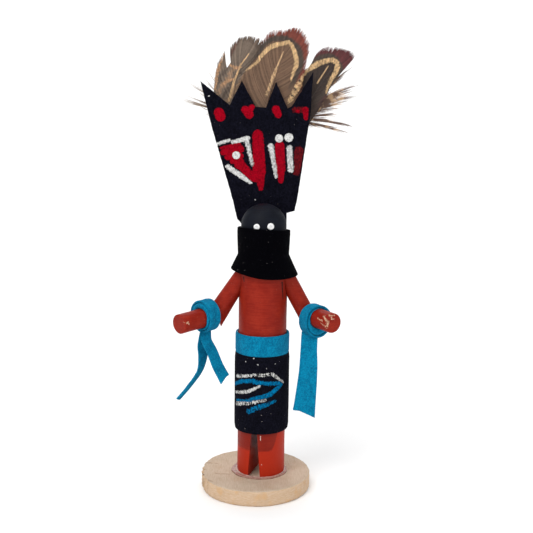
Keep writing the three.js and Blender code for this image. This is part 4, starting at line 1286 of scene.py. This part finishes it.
def makeFootGlue():
    # clear glue that has run out round the feet, a low bead against the dowel
    n = startMaterial("driedGlue", 0.2)
    spot = n.millimetres()
    cloud = n.noise(spot, 0.9, 4.0)
    tone = n.mix(n.ramp(cloud, 0.35, 0.65), colours["glue"], colours["glueThin"])
    # the highest parts of the bead are painted paler: a painted highlight
    rise = n.ramp(n.parts(spot)[2], discTop + 0.36, discTop + 0.56)
    mat = n.finish(n.mix(n.times(rise, 0.35), tone, colours["glueHighlight"]), cloud, 0.15, 0.6)
    rows = []
    for angle in turnsOf(glue["around"]):
        x, y = math.cos(angle), math.sin(angle)
        wide = glue["wide"] + glue["wideRight"] * max(0.0, -x) ** 2
        wide += 0.3 * wobble(x * 9, y * 9, 0, 4.0, 6) + 0.2 * wobble(x * 9, y * 9, 0, 1.6, 8)
        row = []
        for share in sharesOf(glue["section"] - 1):
            radius = dowel["trunk"] - glue["under"] + (wide + glue["under"]) * min(1.0, share * 1.06)
            film = 0.44 + 0.18 * math.exp(-((share - 0.80) / 0.12) ** 2) + 0.40 * math.exp(-(share / 0.3) ** 2)
            film = film + 0.08 * wobble(radius * x, radius * y, 0, 1.0, 3) if share < 0.97 else 0.0
            row.append((radius * x, radius * y, discTop - glue["sunk"] + film))
        rows.append(row)
    pieceFrom("footGlue", *skinOver(rows, closed=True), "terracotta_paint", mat)


makeEye("rightEye", -eye["apart"], eye["height"] - 0.2, eye["radius"] * 0.95)
makeEye("leftEye", eye["apart"], eye["height"], eye["radius"] * 1.05)
makeFootGlue()
print("trim made")

# floor, light and camera, in metres

stage = {"floorTone": 0.95, "skyLight": 0.5, "floorFront": -1.6, "floorBack": 0.5, "sweepRadius": 0.5, "backReach": 1.6,
         "halfWidth": 2.0}
# each (place, what it is turned to, size, power)
lamps = {"keyLight": ((-0.35, -0.55, 0.75), (0, 0, 0.08), 0.7, 5.4),
         "fillLight": ((0.6, -0.5, 0.35), (0, 0, 0.08), 0.8, 1.4),
         "sweepLight": ((0, 0.35, 1.1), (0, 1.0, 0.45), 0.9, 6.0)}
view = {"lens": 57.75, "pitch": 9.0, "roll": 0.79, "place": (3.54, -329.55, 141.7)}


def makeFloor():
    # a pale sweep that rises behind the doll
    s, tone = stage, stage["floorTone"]
    n = startMaterial("paleSweep", 0.9, specular=0.1)
    cloud = n.noise(n.add("TexCoord").outputs["Object"], 3.0)
    n.feed(n.shader.inputs["Base Color"], n.mix(cloud, (tone,) * 3, (tone * 0.99,) * 3))
    profile = [(s["floorFront"], 0.0), (s["floorBack"], 0.0)]
    for share in sharesOf(12)[1:]:
        turn = math.radians(90 * share)
        profile.append((s["floorBack"] + s["sweepRadius"] * math.sin(turn), s["sweepRadius"] * (1 - math.cos(turn))))
    profile.append((s["floorBack"] + s["sweepRadius"], s["backReach"]))
    count = len(profile)
    verts = [(x, y, z) for x in (-s["halfWidth"], s["halfWidth"]) for y, z in profile]
    faces = [(i, i + 1, i + 1 + count, i + count) for i in range(count - 1)]
    objectFrom("sweep", verts, faces, n.mat)


def softLight(name, spot, target, size, power):
    data = bpy.data.lights.new(name, "AREA")
    data.shape, data.size, data.energy = "DISK", size, power
    lamp = bpy.data.objects.new(name, data)
    bpy.context.scene.collection.objects.link(lamp)
    lamp.location = spot
    lamp.rotation_euler = (Vector(target) - Vector(spot)).to_track_quat("-Z", "Y").to_euler()


def makeCamera():
    data = bpy.data.cameras.new("photoCamera")
    data.lens, data.sensor_width, data.clip_start, data.clip_end = view["lens"], 36.0, 0.01, 10.0
    camera = bpy.data.objects.new("photoCamera", data)
    bpy.context.scene.collection.objects.link(camera)
    pitch, roll = math.radians(view["pitch"]), math.radians(view["roll"])
    forward = Vector((0, math.cos(pitch), -math.sin(pitch)))
    level, upright = Vector((1, 0, 0)), Vector((0, math.sin(pitch), math.cos(pitch)))
    right = level * math.cos(roll) + upright * math.sin(roll)
    up = upright * math.cos(roll) - level * math.sin(roll)
    turned = Matrix((right, up, -forward)).transposed().to_4x4()
    camera.matrix_world = Matrix.Translation(Vector(view["place"]) * mm) @ turned
    bpy.context.scene.camera = camera


makeFloor()
for name, lamp in lamps.items():
    softLight(name, *lamp)
world = bpy.data.worlds.new("paleRoom")
world.use_nodes = True
world.node_tree.nodes["Background"].inputs["Color"].default_value = (1, 1, 1, 1)
world.node_tree.nodes["Background"].inputs["Strength"].default_value = stage["skyLight"]
bpy.context.scene.world = world
bpy.context.scene.view_settings.view_transform = "Standard"
makeCamera()
print("stage ready")
